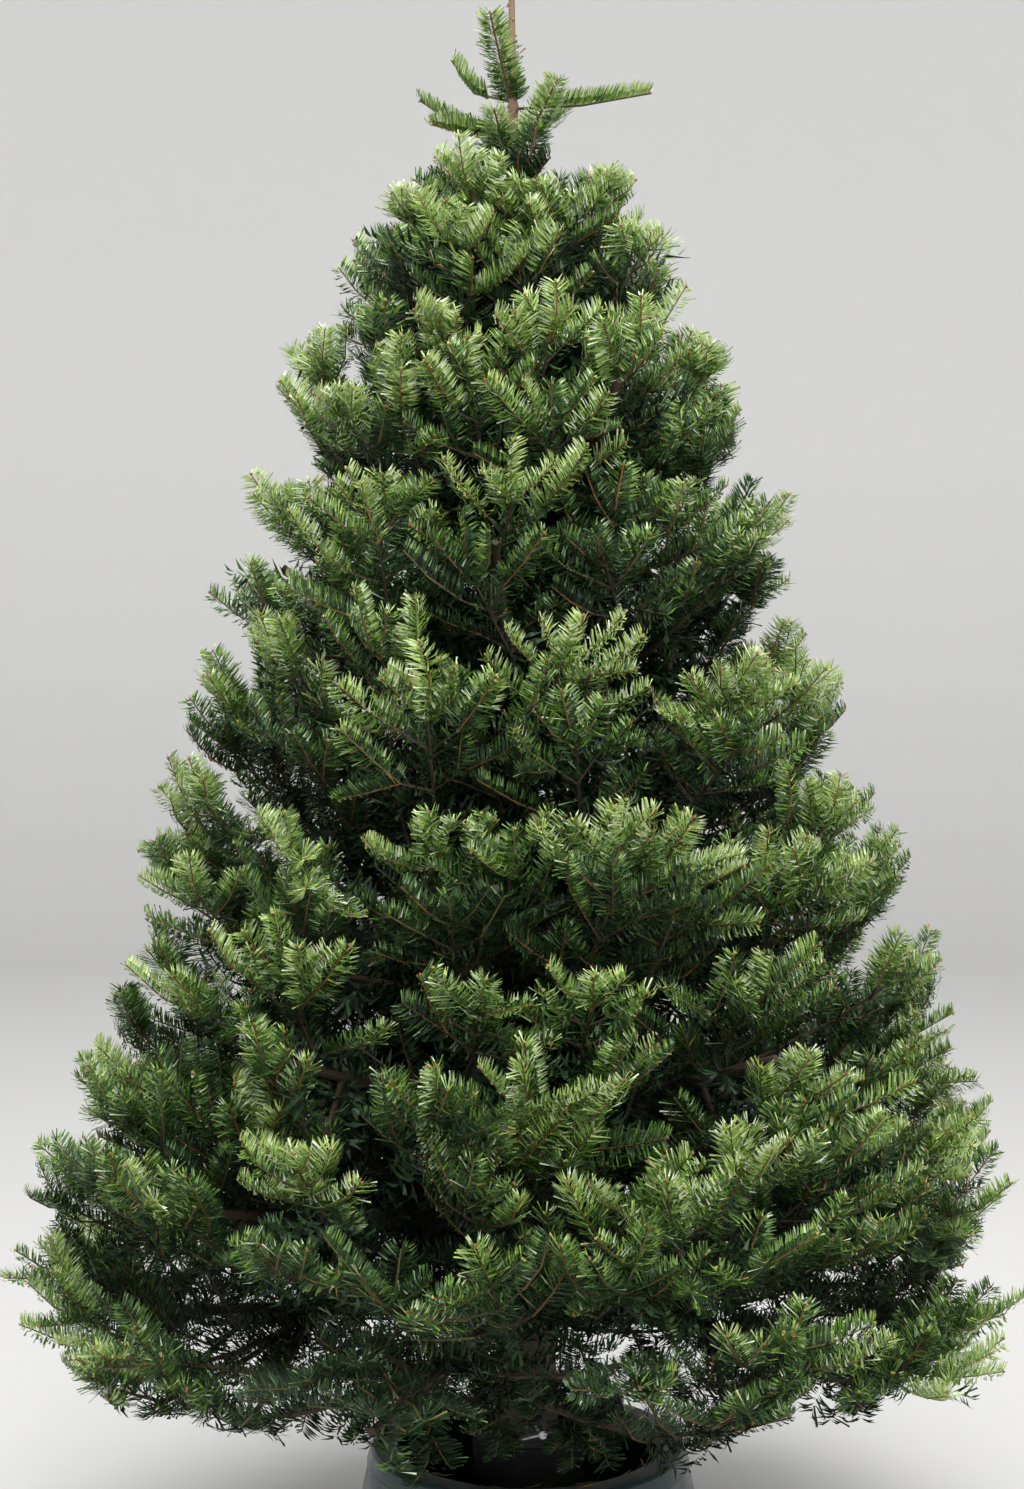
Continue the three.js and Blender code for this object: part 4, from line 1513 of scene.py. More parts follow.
@dataclass(frozen=True)
class NeedleForm:
    """A needle is a slim blade of two faces, one for its inner half and one for its outer half.

    Most are bent at their widest point. The rest are straight, nearly parallel-sided and blunt.
    """

    base_angle: float = 86
    tip_angle: float = 64
    top_lean: float = 26
    bend: float = 0.72
    forward: float = 0.22
    bent_share: float = 0.80
    bent_width: float = 1.20
    blunt: float = 0.66
    thickness: float = 0.30
    twist: float = 0.30
    straw: float = 0.004
    rise: float = 1.7
    lit_half_step: float = 0.5
    turned_share: float = 0.42

    def part(self, shoots: Array, seed: int) -> MeshPart:
        """Clothe shoots with needles.

        A needle leaves its shoot at an angle that closes towards the tip, turned about the shoot
        within the habit's spread of its upper side, and sweeps up and forward.

        Args:
            shoots: The shoot table.
            seed: Start of the random draws.

        Returns:
            The needles' triangles, with their tints.
        """
        rng = np.random.default_rng(seed)
        length = np.linalg.norm(shoots["tip"] - shoots["base"], axis=-1)
        counts = np.maximum((length * (1 - shoots["bare"]) * shoots["pitch"]).astype(int), 4)
        row = np.repeat(np.arange(len(shoots)), counts)
        count = len(row)
        order = np.arange(count) - np.repeat(np.cumsum(counts) - counts, counts)
        mine = shoots[row]
        raw = (order + rng.uniform(0.3, 0.7, count)) / counts[row]
        s = mine["bare"] + (1 - mine["bare"]) * raw
        point, along = shoot_path(mine, s)
        above = square_to(mine["up"], along)
        side = np.where(order % 2 == 0, 1, -1)
        turn = np.radians(mine["spread"] * (1 - 0.82 * rng.random(count) ** 1.5) * side)
        radial = np.cos(turn)[:, None] * above + np.sin(turn)[:, None] * np.cross(along, above)
        topmost = np.maximum(np.cos(turn), 0)
        angle = self.base_angle + (self.tip_angle - self.base_angle) * s**2.2 - self.top_lean * topmost
        angle = np.radians(angle + rng.normal(0, 4, count))
        out = np.cos(angle)[:, None] * along + np.sin(angle)[:, None] * radial
        sweep = rng.uniform(0.8, 1.2, count)[:, None] * (self.bend * above + self.forward * along)
        curl = unit(out + sweep)
        reach = mine["needle"] * rng.uniform(0.92, 1.05, count) * self.outline(s) * (1 - 0.12 * topmost)
        root = point + radial * (0.7 * mine["radius"])[:, None]
        corners = self.blades(root, out, curl, reach, mine["width"], rng)
        return MeshPart(corners.reshape(-1, 3), self.faces(count), self.tints(mine, s, rng))

    @staticmethod
    def faces(count: int) -> Array:
        """The two faces of each needle, over its four corners."""
        halves = np.array([[0, 2, 1], [1, 2, 3]])
        return ((4 * np.arange(count))[:, None, None] + halves[None]).reshape(-1, 3)

    @staticmethod
    def outline(s: Array) -> Array:
        """Length of a needle by its share along the shoot: shorter at the foot and at the tip."""
        foot = 0.8 + 0.2 * np.minimum(s / 0.15, 1)
        return foot * (1 - 0.38 * (np.maximum(s - 0.72, 0) / 0.28) ** 2)

    def blades(
        self, root: Array, out: Array, curl: Array, reach: Array, width: Array, rng: np.random.Generator
    ) -> Array:
        """Corners of the needles.

        A bent blade is foot, left, right, tip. A straight one is a strip whose two ends are turned
        a little against each other.

        Args:
            root: Where each needle leaves its shoot.
            out: Direction of its first half.
            curl: Direction of its second half.
            reach: Length.
            width: Width.
            rng: The piece's random draws.

        Returns:
            Array of needles by 4 by 3.
        """
        count = len(root)
        reach = reach[:, None]
        half = width[:, None] / 2 * rng.uniform(0.9, 1.1, (count, 1))
        flat = unit(np.cross(out, curl))
        middle = root + 0.48 * reach * out
        end = middle + 0.52 * reach * curl
        wide = self.bent_width * half * flat
        bent = np.stack([root, middle + wide, middle - wide, end], axis=1)
        line = unit(out + curl)
        normal = np.cross(flat, line)
        roll = rng.normal(0, self.twist, (count, 1))
        sine, cosine = np.sin(roll), np.cos(roll)
        flat, normal = flat * cosine + normal * sine, normal * cosine - flat * sine
        tip = root + reach * line
        lift = self.thickness * 2 * half * normal
        near, far = half * flat, self.blunt * half * flat
        ends = [root + near + lift, tip + far - lift, root - near - lift, tip - far + lift]
        straight = np.stack(ends, axis=1)
        choice = rng.random(count) < self.bent_share
        return np.where(choice[:, None, None], bent, straight)

    def tints(self, mine: Array, s: Array, rng: np.random.Generator) -> Array:
        """Deal out the tints: each needle's outer half is lighter as a painted highlight and its inner half
        darker as painted shade, and some show their underside.

        Args:
            mine: Each needle's row of the shoot table.
            s: Its share along the shoot.
            rng: The piece's random draws.

        Returns:
            Material slots, two to a needle.
        """
        count = len(mine)
        young = np.where(mine["age"] == Age.NEW.value, 1.0, 0.4)
        # Needles lighten towards each shoot's tip, most on new shoots: partly real age, partly painted light
        # and shade.
        tone = mine["tone"] + self.rise * young * (s - 0.5) + rng.normal(0, 0.5, count)
        # Painted highlight and shade: the outer half gets a lighter tint, the inner half a darker one.
        inner, outer = [np.floor(np.clip(tone + d, 0, 4.99)).astype(int) for d in (-self.lit_half_step, self.lit_half_step)]
        # Turned needles show the underside by the same light: dim as painted shade where it is low, banded
        # white where it is highest, partly a painted highlight.
        light = tone + mine["pale"] + rng.normal(0, 0.9, count)
        beneath = np.where(light > 1.9, Tint.PALE.slot, Tint.DIM.slot)
        beneath = np.where(light > 3.8, Tint.WHITE.slot, beneath)
        turned = rng.random(count) < self.turned_share
        inner = np.where(turned & (inner < Tint.BRIGHT.slot), Tint.DIM.slot, inner)
        outer = np.where(turned, beneath, outer)
        straw = (rng.random(count) < self.straw) & (mine["age"] != Age.INNER.value)
        slots = np.stack([inner, outer], axis=1)
        return np.where(straw[:, None], Tint.STRAW.slot, slots).ravel()


@dataclass(frozen=True)
class BudForm:
    """A cluster of small pointed buds at a shoot's end, each an eight-faced spindle."""

    length: float = 0.0052
    radius: float = 0.0021
    cluster: int = 2
    lean: float = 0.9
    green_share: float = 0.4

    def part(self, tips: Array, along: Array, seed: int) -> MeshPart:
        """Set a cluster at each place.

        Args:
            tips: Where the clusters sit.
            along: The way that each one points.
            seed: Start of the random draws.

        Returns:
            The buds' triangles.
        """
        rng = np.random.default_rng(seed)
        tip, along = np.repeat(tips, self.cluster, axis=0), np.repeat(along, self.cluster, axis=0)
        number = np.tile(np.arange(self.cluster), len(tips))
        lead = (number == 0)[:, None]
        aside = square_to(rng.normal(size=(len(tip), 3)), along)
        aim = unit(np.where(lead, along, along + self.lean * aside))
        size = np.where(lead, 1.0, 0.72) * rng.uniform(0.8, 1.15, (len(tip), 1))
        across = square_to(np.roll(aim, 1, axis=1) + 0.1, aim)
        third = np.cross(aim, across)
        base = tip - 0.001 * along + np.where(lead, 0, 0.0012) * aside
        belt = base + 0.42 * self.length * size * aim
        width = self.radius * size
        ring = [belt + width * d for d in (across, third, -across, -third)]
        corners = np.stack([base, *ring, base + self.length * size * aim], axis=1)
        turn = [(1, 2), (2, 3), (3, 4), (4, 1)]
        template = np.array([[0, b, a] for a, b in turn] + [[5, a, b] for a, b in turn])
        faces = (6 * np.arange(len(tip)))[:, None, None] + template[None]
        green = np.repeat(rng.random(len(tips)) < self.green_share, self.cluster)
        slots = np.where(green, Wood.SWELLING.slot, Wood.BUD.slot)
        return MeshPart(corners.reshape(-1, 3), faces.reshape(-1, 3), np.repeat(slots, 8))


@dataclass
class Foliage:
    """All that grows from the limbs: stems, twigs, needles and buds."""

    rule: GrowthRule
    needle: NeedleForm = field(default_factory=NeedleForm)
    bud: BudForm = field(default_factory=BudForm)
    stem_radii: Pair = (0.0100, 0.0045)
    twig_radii: Pair = (0.0042, 0.0032)
    budding_tone: float = 2.0
    green_share: float = 0.45
    core_twigs: int = 28
    foot_twigs: int = 56
    core_broad: float = 1.5
    crest: tuple[float, float, int] = (1.650, 1.800, 20)
    drooping: tuple[float, ...] = (
        *(250, 266, 277, 287, 303, 327, 351, 15, 39),
        *(63, 87, 111, 135, 159, 183, 207, 230),
    )

    def build(self, needle_finish: Materials, wood_finish: Materials) -> None:
        """Grow every tier and the top, and add their pieces.

        Args:
            needle_finish: Materials in the order of Tint.
            wood_finish: Materials in the order of Wood.
        """
        growths = []
        for t, tier in enumerate(self.rule.tiers):
            growth = self.tier(t)
            nodes = [f"foliage_{t + 1}_{k + 1}" for k in range(tier.masses)]
            self.add_needles(f"needles_tier_{t + 1}", growth, nodes, needle_finish, Seed.NEEDLES + t)
            growths.append(growth)
        top = Growth()
        whorls = TopGrowth(self.rule.trunk)
        whorls.grow(top)
        nodes = [f"top_branch_{k + 1}" for k in range(len(whorls.branches))]
        self.add_needles("needles_top", top, nodes, needle_finish, Seed.TOP_NEEDLES)
        growths.append(top)
        self.add_wood(growths, wood_finish, whorls.buds())

    def tier(self, t: int) -> Growth:
        """Grow one tier: its masses, the twigs inside it, and what hangs or stands up at its ends.

        Args:
            t: The tier's number from the foot.

        Returns:
            What grew.
        """
        foot, growth = t == 0, Growth()
        for k in range(self.rule.tiers[t].masses):
            rng = np.random.default_rng(Seed.MASS + 10 * t + k)
            Brancher(self.rule, growth, rng).mass(t, k)
        inside = Brancher(self.rule, growth, np.random.default_rng(Seed.CORE + t))
        if foot:
            inside.shaded = Age.OLD
            for azimuth in self.drooping:
                inside.drooping(azimuth)
            inside.mood = 0.0
        inside.broad = self.core_broad
        inside.core(t, self.foot_twigs if foot else self.core_twigs)
        if t == len(self.rule.tiers) - 1:
            inside.crest(*self.crest)
        return growth

    def add_needles(self, name: str, growth: Growth, nodes: list[str], finish: Materials, seed: int) -> None:
        """Add one tier's needles, in as many pieces as keep each under the limit.

        Args:
            name: Name of the piece.
            growth: What the tier grew.
            nodes: The nodes that it stands for.
            finish: Materials in the order of Tint.
            seed: Start of the random draws.
        """
        part = self.needle.part(growth.table(), seed)
        pieces = math.ceil(len(part.faces) / PIECE_TRIANGLES)
        cut = 2 * math.ceil(len(part.faces) / 2 / pieces)
        for i in range(pieces):
            faces = part.faces[i * cut : (i + 1) * cut]
            low = faces.min()
            slots = part.slots[i * cut : (i + 1) * cut]
            some = MeshPart(part.corners[low : faces.max() + 1], faces - low, slots)
            suffix = f"_{i + 1}" if pieces > 1 else ""
            Piece(name + suffix, "needles", finish, nodes).add(some)

    def add_wood(
        self, growths: Sequence[Growth], finish: Materials, leader_buds: tuple[Array, Array]
    ) -> None:
        """Add the stems, twigs and shoots of all tiers, and the buds.

        Args:
            growths: What each tier grew.
            finish: Materials in the order of Wood.
            leader_buds: Places and directions of the buds on the leader.
        """
        stems = np.array([path for g in growths for path in g.stems])
        twigs = np.array([path for g in growths for path in g.twigs])
        old = Wood.OLD.slot
        parts = [self.limbs(stems, self.stem_radii, 8, old), self.limbs(twigs, self.twig_radii, 5, old)]
        Piece("twigs_old", "bark", finish).add(MeshPart.joined(parts))
        table = np.concatenate([g.table() for g in growths])
        table = table[(table["radius"] > 0) & (table["age"] != Age.LEADER.value)]
        stations = np.linspace(0, 1, 3)
        points = np.stack([shoot_path(table, np.full(len(table), s))[0] for s in stations], axis=1)
        shaft = table["radius"][:, None] * np.linspace(1, 0.62, len(stations))
        new = table["age"] == Age.NEW.value
        green = np.random.default_rng(Seed.TWIGS).random(len(table)) < self.green_share
        slots = np.where(new, np.where(green, Wood.GREEN.slot, Wood.YOUNG.slot), old)
        Piece("twigs_young", "bark", finish).add(tubes_part(points, shaft, 3, slots))
        budding = table[new & (table["tone"] > self.budding_tone)]
        tips, along = shoot_path(budding, np.ones(len(budding)))
        places = [np.concatenate(pair) for pair in zip((tips, along), leader_buds)]
        Piece("buds", "bark", finish).add(self.bud.part(*places, Seed.BUDS))

    @staticmethod
    def limbs(paths: Array, radii: Pair, sides: int, slot: int) -> MeshPart:
        """Skin limbs that taper evenly from one radius to another."""
        taper = np.tile(np.linspace(*radii, paths.shape[1]), (len(paths), 1))
        return tubes_part(paths, taper, sides, np.full(len(paths), slot))


# Trunk and boughs


@dataclass(frozen=True)
class Trunk:
    """The trunk's bark: knots where stems leave, resin blisters and a wandering relief."""

    rule: GrowthRule
    sides: int = 36
    rings: int = 400
    blisters: int = 150
    knot_height: float = 0.0045
    node_swell: float = 0.0016
    slimness: float = 0.16
    node_height: float = 0.008
    relief: float = 0.0011
    full_relief: float = 0.03
    knot_size: Pair = (0.016, 0.55)
    blister_height: float = 0.0011
    blister_size: Pair = (0.0035, 0.16)
    blister_part: Pair = (0.02, 1.7)
    slim_part: Pair = (1.70, 0.2)

    def part(self) -> MeshPart:
        """Work out the surface: radius(z) + knots + blisters + ripples, about the leaning axis."""
        form = self.rule.trunk
        z = np.linspace(form.butt_height, form.height, self.rings)
        z_grid, a_grid = np.meshgrid(z, around(self.sides, 0.5) + math.pi / 2, indexing="ij")
        size = form.radius(z)[:, None]
        bare = np.clip(size / self.full_relief, 0.25, 1)
        radii = size + self.relief * bare * ripple(a_grid, z_grid, 12, (7, 60), Seed.RIPPLE)
        for t, tier in enumerate(self.rule.tiers):
            for k in range(tier.masses):
                cell = self.rule.cell(t, k)
                height = cell.middle.at(0.0) - self.rule.stem_upturn / 2
                knot = self.swell(z_grid, a_grid, height, cell.azimuth, *self.knot_size)
                radii += self.knot_height * bare * knot
        rng = np.random.default_rng(Seed.BLISTERS)
        for _ in range(self.blisters):
            height, turn = rng.uniform(*self.blister_part), rng.uniform(0, 360)
            blister = self.swell(z_grid, a_grid, height, turn, *self.blister_size)
            radii += self.blister_height * bare * blister
        start, span = self.slim_part
        radii *= 1 - self.slimness * np.clip((z[:, None] - start) / span, 0, 1)
        node = np.exp(-(((z - form.top_whorl) / self.node_height) ** 2))
        radii += self.node_swell * node[:, None] * (1 + 0.4 * np.cos(3 * a_grid))
        return grid_part(limb_grid(form.axis(z), radii))

    @staticmethod
    def swell(z: Array, angle: Array, height: float, azimuth: float, tall: float, wide: float) -> Array:
        """A round swelling of height 1: exp(-(dz / tall)^2 - (da / wide)^2)."""
        turn = (angle - math.radians(azimuth) + math.pi) % (2 * math.pi) - math.pi
        return np.exp(-(((z - height) / tall) ** 2) - (turn / wide) ** 2)

    def build(self, finish: Material) -> None:
        """Add the trunk."""
        Piece("trunk_bark", "bark", [finish], ["trunk"], smooth=True).add(self.part())


@dataclass(frozen=True)
class Boughs:
    """The ten low boughs, each with a collar at the trunk and ripples along it."""

    rule: GrowthRule
    sides: int = 18
    rings: int = 44
    root_radius: float = 0.013
    end_radius: float = 0.0102
    collar: Pair = (0.5, 0.16)
    relief: float = 0.0009

    def part(self, t: int, k: int) -> MeshPart:
        """Work out one bough's surface: a taper with a collar, and ripples along it.

        The collar is a factor 1 + swell exp(-(s / width)^2), with swell and width in collar.

        Args:
            t: The tier's number from the foot.
            k: The bough's number in it.

        Returns:
            The bough's triangles.
        """
        cell = self.rule.cell(t, k)
        reach = self.rule.face(cell, 0, 1)
        s = np.linspace(0, 1, self.rings)
        path = self.rule.stem(cell, reach, s * reach * self.rule.bough_share)
        size = self.root_radius + (self.end_radius - self.root_radius) * s
        swell, width = self.collar
        size = size * (1 + swell * np.exp(-((s / width) ** 2)))
        s_grid, a_grid = np.meshgrid(s * 0.3, around(self.sides), indexing="ij")
        relief = ripple(a_grid, s_grid, 10, (4, 70), Seed.BOUGH + 10 * t + k)
        return grid_part(limb_grid(path, size[:, None] + self.relief * relief))

    def build(self, finish: Material) -> None:
        """Add each bough as a piece of its own."""
        for t, tier in enumerate(self.rule.tiers):
            for k in range(tier.masses if tier.bough else 0):
                node = f"bough_{t + 1}_{k + 1}"
                Piece(f"{node}_bark", "bark", [finish], [node], smooth=True).add(self.part(t, k))


# Stand


def rounded(corners: Sequence[Triple], steps: int = 6) -> Array:
    """Round the corners of an outline with arcs.

    Args:
        corners: Points as (r, z, fillet radius). A fillet of 0 stays sharp.
        steps: Points on each arc.

    Returns:
        The outline as rows of (r, z).
    """
    points = np.array([c[:2] for c in corners], float)
    made = []
    for i, (_, _, fillet) in enumerate(corners):
        here = points[i]
        if fillet <= 0 or i in (0, len(corners) - 1):
            made.append(here[None])
            continue
        back, on = unit(points[i - 1] - here), unit(points[i + 1] - here)
        half = math.acos(float(np.clip(back @ on, -1, 1))) / 2
        cut = fillet / math.tan(half)
        s = np.linspace(0, 1, steps)[:, None]
        start, end = here + back * cut, here + on * cut
        arc = (1 - s) ** 2 * start + 2 * s * (1 - s) * here + s**2 * end
        made.append(arc)
    return np.concatenate(made)


def revolved(rows: Array, segments: int) -> Array:
    """Carry rows of (r, z) round the z axis: (r cos a, r sin a, z).

    Args:
        rows: The rows.
        segments: Steps round.

    Returns:
        Array of rows by steps by 3.
    """
    angle = around(segments)
    ring = np.stack([np.cos(angle), np.sin(angle), 0 * angle], -1)
    return rows[:, :1, None] * ring[None] + rows[:, 1:, None] * UP


def lathe(profile: Array, segments: int) -> MeshPart:
    """Turn a profile about the z axis into a closed surface.

    Args:
        profile: Rows of (r, z), running so that the solid lies on its left. One that starts on the
            axis ends there too, and any other closes on itself.
        segments: Steps round.

    Returns:
        The closed surface, with one corner at each place on the axis.
    """
    solid = profile[0, 0] == 0
    rows = profile[1:-1] if solid else np.concatenate([profile, profile[:1]])
    points = revolved(rows, segments)
    if solid:
        return grid_part(points)
    part = grid_part(points, (False, False))
    whole = len(profile) * segments
    return MeshPart(part.corners[:whole], part.faces % whole, part.slots)


def block(low: Sequence[float], high: Sequence[float]) -> MeshPart:
    """An upright block between two corners."""
    x, y, z = zip(low, high)
    ring = [(x[0], y[0]), (x[1], y[0]), (x[1], y[1]), (x[0], y[1])]
    points = np.array([[(*p, h) for p in ring] for h in z])
    return grid_part(points)


def turned(part: MeshPart, azimuth: float) -> MeshPart:
    """The part turned about the z axis, in degrees."""
    c, s = math.cos(math.radians(azimuth)), math.sin(math.radians(azimuth))
    spin = np.array([[c, s, 0], [-s, c, 0], [0, 0, 1]])
    return MeshPart(part.corners @ spin, part.faces, part.slots)


@dataclass(frozen=True)
class Stand:
    """The water stand: a moulded bowl, a collar with braces and lugs, and four clamp screws."""

    trunk: TrunkForm
    foot_radius: float = 0.244
    rim_radius: float = 0.203
    mouth_radius: float = 0.170
    height: float = 0.200
    wall: float = 0.005
    floor: float = 0.008
    lip: float = 0.012
    segments: int = 192
    collar_inner: float = 0.066
    collar_wall: float = 0.006
    collar_top: float = 0.222
    lug_width: float = 0.030
    lug_top: float = 0.266
    brace_reach: float = 0.138
    brace_thickness: float = 0.008
    brace_height: float = 0.120
    screw_azimuth: float = 278
    screw_height: float = 0.248
    screw_radius: float = 0.005
    screw_end: float = 0.126
    thread_pitch: float = 0.0020
    thread_depth: float = 0.0006
    pad_radius: float = 0.009
    pad_thickness: float = 0.004
    bar_radius: float = 0.004
    bar_length: float = 0.062
    bar_tilt: float = 12

    def outer(self, z: float) -> float:
        """The bowl's outer radius at a height, drawn in towards the rim."""
        return self.foot_radius - (self.foot_radius - self.rim_radius) / self.height * z

    def bowl(self) -> MeshPart:
        """The bowl: foot flange, drawn wall, rolled rim and turned-in lip, in one closed profile."""
        top, wall = self.height, self.wall
        profile = rounded(
            [
                (0.0, 0.0, 0),
                (self.outer(0), 0.0, 0.001),
                (self.outer(0), 0.006, 0.0015),
                (self.outer(0.006) - 0.003, 0.009, 0.002),
                (self.outer(0.03), 0.030, 0.004),
                (self.outer(top - 0.022), top - 0.022, 0.002),
                (self.outer(top - 0.022) + 0.0015, top - 0.020, 0.001),
                (self.outer(top - 0.004), top - 0.004, 0.003),
                (self.outer(top) - 0.003, top, 0.002),
                (self.mouth_radius + 0.004, top, 0.002),
                (self.mouth_radius, top - 0.002, 0.0015),
                (self.mouth_radius - 0.002, top - self.lip, 0.001),
                (self.mouth_radius + 0.002, top - self.lip, 0.001),
                (self.mouth_radius + 0.004, top - wall, 0.001),
                (self.outer(top - wall) - wall, top - wall, 0.004),
                (self.outer(self.floor) - wall - 0.003, self.floor, 0.003),
                (0.0, self.floor, 0),
            ]
        )
        return lathe(profile, self.segments)

    def collar(self) -> MeshPart:
        """The collar: a ring round the trunk with four braces and four lugs."""
        bottom, outer = self.floor + 0.0003, self.collar_inner + self.collar_wall
        ring = rounded(
            [
                (self.collar_inner, 0.5 * self.collar_top, 0),
                (self.collar_inner, bottom, 0.001),
                (outer, bottom, 0.001),
                (outer, self.collar_top - 0.010, 0.001),
                (outer + 0.002, self.collar_top - 0.008, 0.001),
                (outer + 0.002, self.collar_top, 0.001),
                (self.collar_inner, self.collar_top, 0.001),
                (self.collar_inner, 0.6 * self.collar_top, 0),
            ]
        )
        parts = [lathe(ring, 96)]
        for k in range(4):
            half = self.brace_thickness / 2
            side = [(outer - 0.002, bottom), (self.brace_reach, bottom), (self.brace_reach, bottom + 0.014)]
            side.append((outer - 0.002, bottom + self.brace_height))
            points = np.array([[(x, y, z) for x, z in side] for y in (half, -half)])
            parts.append(turned(grid_part(points), self.azimuth(k) + 45))
            low = (self.collar_inner, -self.lug_width / 2, self.collar_top - 0.012)
            lug = block(low, (outer, self.lug_width / 2, self.lug_top))
            parts.append(turned(lug, self.azimuth(k)))
            boss = self.boss(0.012, 0.0085, outer - 0.001, 24)
            parts.append(turned(boss, self.azimuth(k)))
        return MeshPart.joined(parts)

    def azimuth(self, k: int) -> float:
        """Where a screw stands."""
        return self.screw_azimuth + 90 * k

    def boss(self, length: float, radius: float, start: float, sides: int) -> MeshPart:
        """A plain round boss along +X at the screws' height, with its edges eased."""
        ease = 0.0008
        x = np.array([start, start + ease, start + length - ease, start + length])
        r = radius - np.array([ease, 0, 0, ease])
        return self.spun(x, np.repeat(r[:, None], sides, 1))

    def spun(self, x: Array, radii: Array) -> MeshPart:
        """Skin a rod along +X at the screws' height, from stations and a radius for each corner."""
        sides = radii.shape[1]
        angle = around(sides)
        y, z = radii * np.cos(angle), self.screw_height + radii * np.sin(angle)
        return grid_part(np.stack([np.repeat(x[:, None], sides, 1), y, z], axis=-1))

    def screw(self, k: int) -> MeshPart:
        """A clamp screw: pad, threaded rod and cross bar.

        The thread is radius - depth |2 frac(x / pitch - a / 2 pi) - 1|, and fades out at the bar.

        Args:
            k: The screw's number.

        Returns:
            The screw's triangles.
        """
        direction = heading(self.azimuth(k), 0)
        axis = self.trunk.axis(self.screw_height)
        start = float(axis @ direction + self.trunk.radius(self.screw_height)) + 0.0003
        x = np.arange(start + self.pad_thickness - 0.001, self.screw_end, self.thread_pitch / 4)
        phase = (x[:, None] / self.thread_pitch - around(16) / (2 * math.pi)) % 1
        depth = self.thread_depth * np.clip((self.screw_end - 0.014 - x) / 0.003, 0, 1)
        rod = self.spun(x, self.screw_radius - depth[:, None] * np.abs(2 * phase - 1))
        rim = np.array([0.6, 1, 1, 0.6]) * self.pad_radius
        pad_x = start + self.pad_thickness * np.array([0, 0.2, 0.8, 1.0])
        pad = self.spun(pad_x, np.repeat(rim[:, None], 28, 1))
        s = np.linspace(-1, 1, 16)
        tilt = math.radians(self.bar_tilt)
        along = np.array([0, math.cos(tilt), math.sin(tilt)])
        centre = np.array([self.screw_end - 0.006, 0, self.screw_height])
        path = centre + s[:, None] * along * self.bar_length / 2
        size = self.bar_radius * np.sqrt(np.clip(1 - np.abs(s) ** 14, 0.12, 1))
        bar = tubes_part(path[None], size[None], 14, np.zeros(1, int))
        return turned(MeshPart.joined([rod, pad, bar]), self.azimuth(k))

    def build(self, bowl: Material, collar: Material, steel: Material) -> None:
        """Add the stand's pieces.

        Args:
            bowl: Finish of the bowl.
            collar: Finish of the collar.
            steel: Finish of the screws.
        """
        part = self.bowl()
        Piece("stand_bowl_shell", "stand_plastic", [bowl], ["stand_bowl"], True, 35).add(part)
        part = self.collar()
        Piece("stand_collar_shell", "collar_plastic", [collar], ["stand_collar"], True, 35).add(part)
        for k in range(4):
            name = f"clamp_screw_{k + 1}"
            Piece(f"{name}_steel", "screw_metal", [steel], [name], True, 50).add(self.screw(k))


@dataclass(frozen=True)
class Litter:
    """Dry needles that have dropped onto the stand's floor and rim."""

    stand: Stand
    floor_count: int = 700
    rim_count: int = 90
    needle: float = 0.025
    width: float = 0.0022
    clearance: float = 0.0022
    straw_share: float = 0.8

    def part(self) -> MeshPart:
        """Scatter needles: each lies on a random heading, tipped up a little, just clear of its bed."""
        rng = np.random.default_rng(Seed.LITTER)
        stand, count = self.stand, self.floor_count + self.rim_count
        raised = np.arange(count) >= self.floor_count
        inner, outer = stand.collar_inner + 0.018, stand.rim_radius - 0.002
        bed = rng.uniform(inner**2, outer**2, count) ** 0.5
        inner, outer = stand.mouth_radius + 0.003, stand.rim_radius - 0.006
        ledge = rng.uniform(inner, outer, count)
        r = np.where(raised, ledge, bed)
        z = np.where(raised, stand.height, stand.floor) + self.clearance
        root = r[:, None] * heading(rng.uniform(0, 360, count), 0) + z[:, None] * UP
        tangent = np.degrees(np.arctan2(root[:, 1], root[:, 0])) + 90
        turn = np.where(raised, tangent + rng.normal(0, 20, count), rng.uniform(0, 360, count))
        out = heading(turn, rng.uniform(0, 5, count))
        reach = self.needle * rng.uniform(0.8, 1.1, count)
        width = np.full(count, self.width)
        corners = NeedleForm().blades(root, out, unit(out + 0.12 * UP), reach, width, rng)
        slots = np.where(rng.random(count) < self.straw_share, Tint.STRAW.slot, Tint.SHADE.slot)
        return MeshPart(corners.reshape(-1, 3), NeedleForm.faces(count), np.repeat(slots, 2))

    def build(self, finish: Materials) -> None:
        """Add the dropped needles as one piece."""
        Piece("dropped_needles", "needles", finish).add(self.part())


# Studio


@dataclass(frozen=True)
class Softbox:
    """A square area light: its place, size, power and colour, aimed at the crown."""

    name: str
    place: Triple
    size: float
    watts: float
    colour: Triple = (1.0, 1.0, 1.0)

    def add(self, target: Vector) -> None:
        """Hang the light and turn it to the target.

        Args:
            target: The point that it faces.
        """
        light = bpy.data.lights.new(self.name, "AREA")
        light.shape = "SQUARE"
        light.size = self.size
        light.energy = self.watts
        light.color = self.colour
        obj = bpy.data.objects.new(self.name, light)
        obj.location = self.place
        obj.rotation_euler = (target - Vector(self.place)).to_track_quat("-Z", "Y").to_euler()
        bpy.context.scene.collection.objects.link(obj)


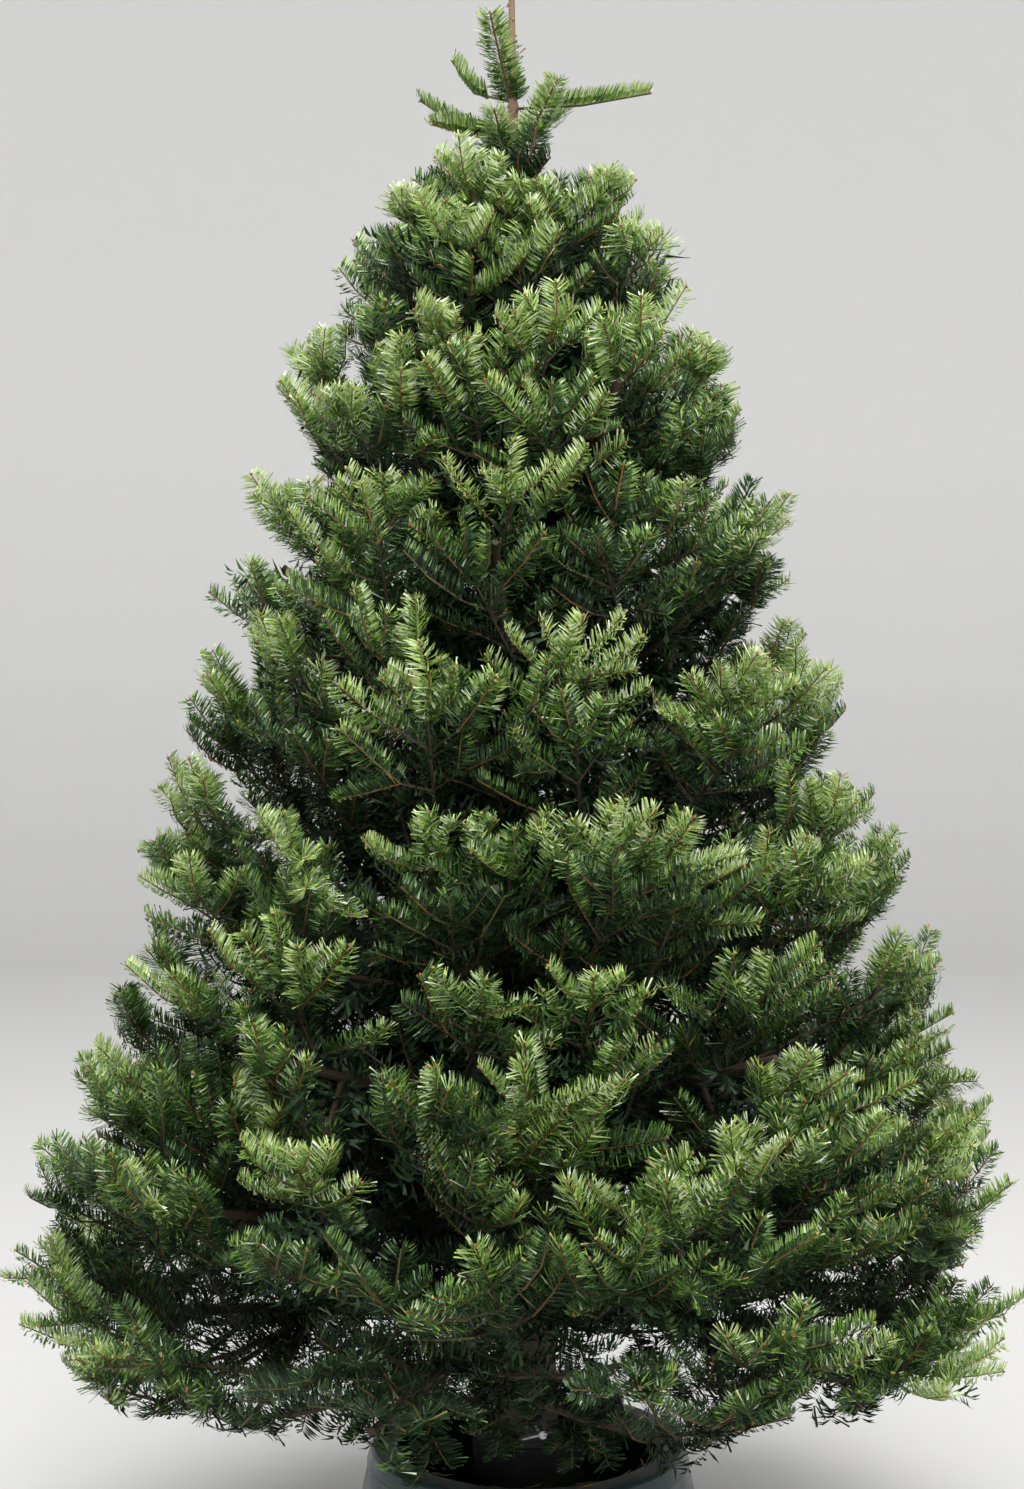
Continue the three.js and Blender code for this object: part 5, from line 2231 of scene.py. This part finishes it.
@dataclass(frozen=True)
class Studio:
    """Pale floor, soft daylight and the photograph's camera."""

    camera_place: Triple = (-0.021, -2.69, 1.105)
    lens: float = 50.0
    sensor: float = 36.0
    floor_radius: float = 8.0
    sweep_radius: float = 3.0
    wall_height: float = 8.0
    floor_segments: int = 96
    target: Triple = (0, 0, 1.0)
    sky: Triple = (0.98, 0.99, 1.0)
    sky_strength: Pair = (0.75, 1.30)
    boxes: tuple[Softbox, ...] = (
        Softbox("top_light", (-0.4, -1.2, 5.2), 4.5, 330),
        Softbox("front_light", (1.4, -3.9, 3.4), 2.4, 110, (1.0, 0.99, 0.96)),
    )

    def build(self) -> None:
        """Set up the camera, floor, sky and lights."""
        bpy.context.scene.view_settings.view_transform = "Standard"
        self.camera()
        self.floor()
        self.dome()
        for box in self.boxes:
            box.add(Vector(self.target))

    def dome(self) -> None:
        """Light the scene by an overcast sky, whose strength grows evenly from the horizon up."""
        world = bpy.data.worlds.new("sky")
        world.use_nodes = True
        nodes, links = world.node_tree.nodes, world.node_tree.links
        background = nodes["Background"]
        background.inputs["Color"].default_value = (*self.sky, 1)
        split = nodes.new("ShaderNodeSeparateXYZ")
        links.new(nodes.new("ShaderNodeTexCoord").outputs["Generated"], split.inputs["Vector"])
        remap = nodes.new("ShaderNodeMapRange")
        remap.inputs["To Min"].default_value, remap.inputs["To Max"].default_value = self.sky_strength
        links.new(split.outputs["Z"], remap.inputs["Value"])
        links.new(remap.outputs["Result"], background.inputs["Strength"])
        bpy.context.scene.world = world

    def camera(self) -> None:
        """Make the camera, level and facing +Y."""
        data = bpy.data.cameras.new("camera")
        data.lens = self.lens
        data.sensor_width = self.sensor
        camera = bpy.data.objects.new("camera", data)
        camera.location = self.camera_place
        camera.rotation_euler = (math.pi / 2, 0, 0)
        bpy.context.scene.collection.objects.link(camera)
        bpy.context.scene.camera = camera

    def floor(self) -> None:
        """Lay a round floor that sweeps up, by a quarter circle, into an upright pale wall."""
        turn = np.linspace(0, math.pi / 2, 24)
        level = np.array([[0.6, 0.0], [2.0, 0.0], [4.0, 0.0]])
        bend = [self.floor_radius + self.sweep_radius * np.sin(turn), self.sweep_radius * (1 - np.cos(turn))]
        top = np.array([[self.floor_radius + self.sweep_radius, self.wall_height]])
        rows = np.concatenate([level, np.stack(bend, -1), top])[::-1]
        part = grid_part(revolved(rows, self.floor_segments), (False, True))
        mesh = bpy.data.meshes.new("studio_floor")
        mesh.from_pydata(part.corners.tolist(), [], part.faces.tolist())
        mesh.shade_smooth()
        mesh.materials.append(FloorFinish().material())
        floor = bpy.data.objects.new("studio_floor", mesh)
        bpy.context.scene.collection.objects.link(floor)


def main() -> None:
    """Load the frame, grow the tree round it, dress the stand and light the scene."""
    logging.basicConfig(level=logging.INFO, format="%(name)s %(message)s")
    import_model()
    Studio().build()
    rule = GrowthRule(TrunkForm.from_frame())
    needles = [tint.value.material() for tint in Tint]
    wood = [tint.value.material() for tint in Wood]
    bark = BarkFinish().material()
    Trunk(rule).build(bark)
    Boughs(rule).build(bark)
    Foliage(rule).build(needles, wood)
    green = MouldedFinish("green_plastic", (0.005, 0.029, 0.030), (0.10, 0.095, 0.08), (0.30, 0.48))
    black = MouldedFinish("black_plastic", (0.008, 0.010, 0.010), (0.09, 0.08, 0.065), (0.42, 0.62))
    stand = Stand(rule.trunk)
    stand.build(green.material(), black.material(), PlatedFinish().material())
    Litter(stand).build(needles)


if __name__ == "__main__":
    main()
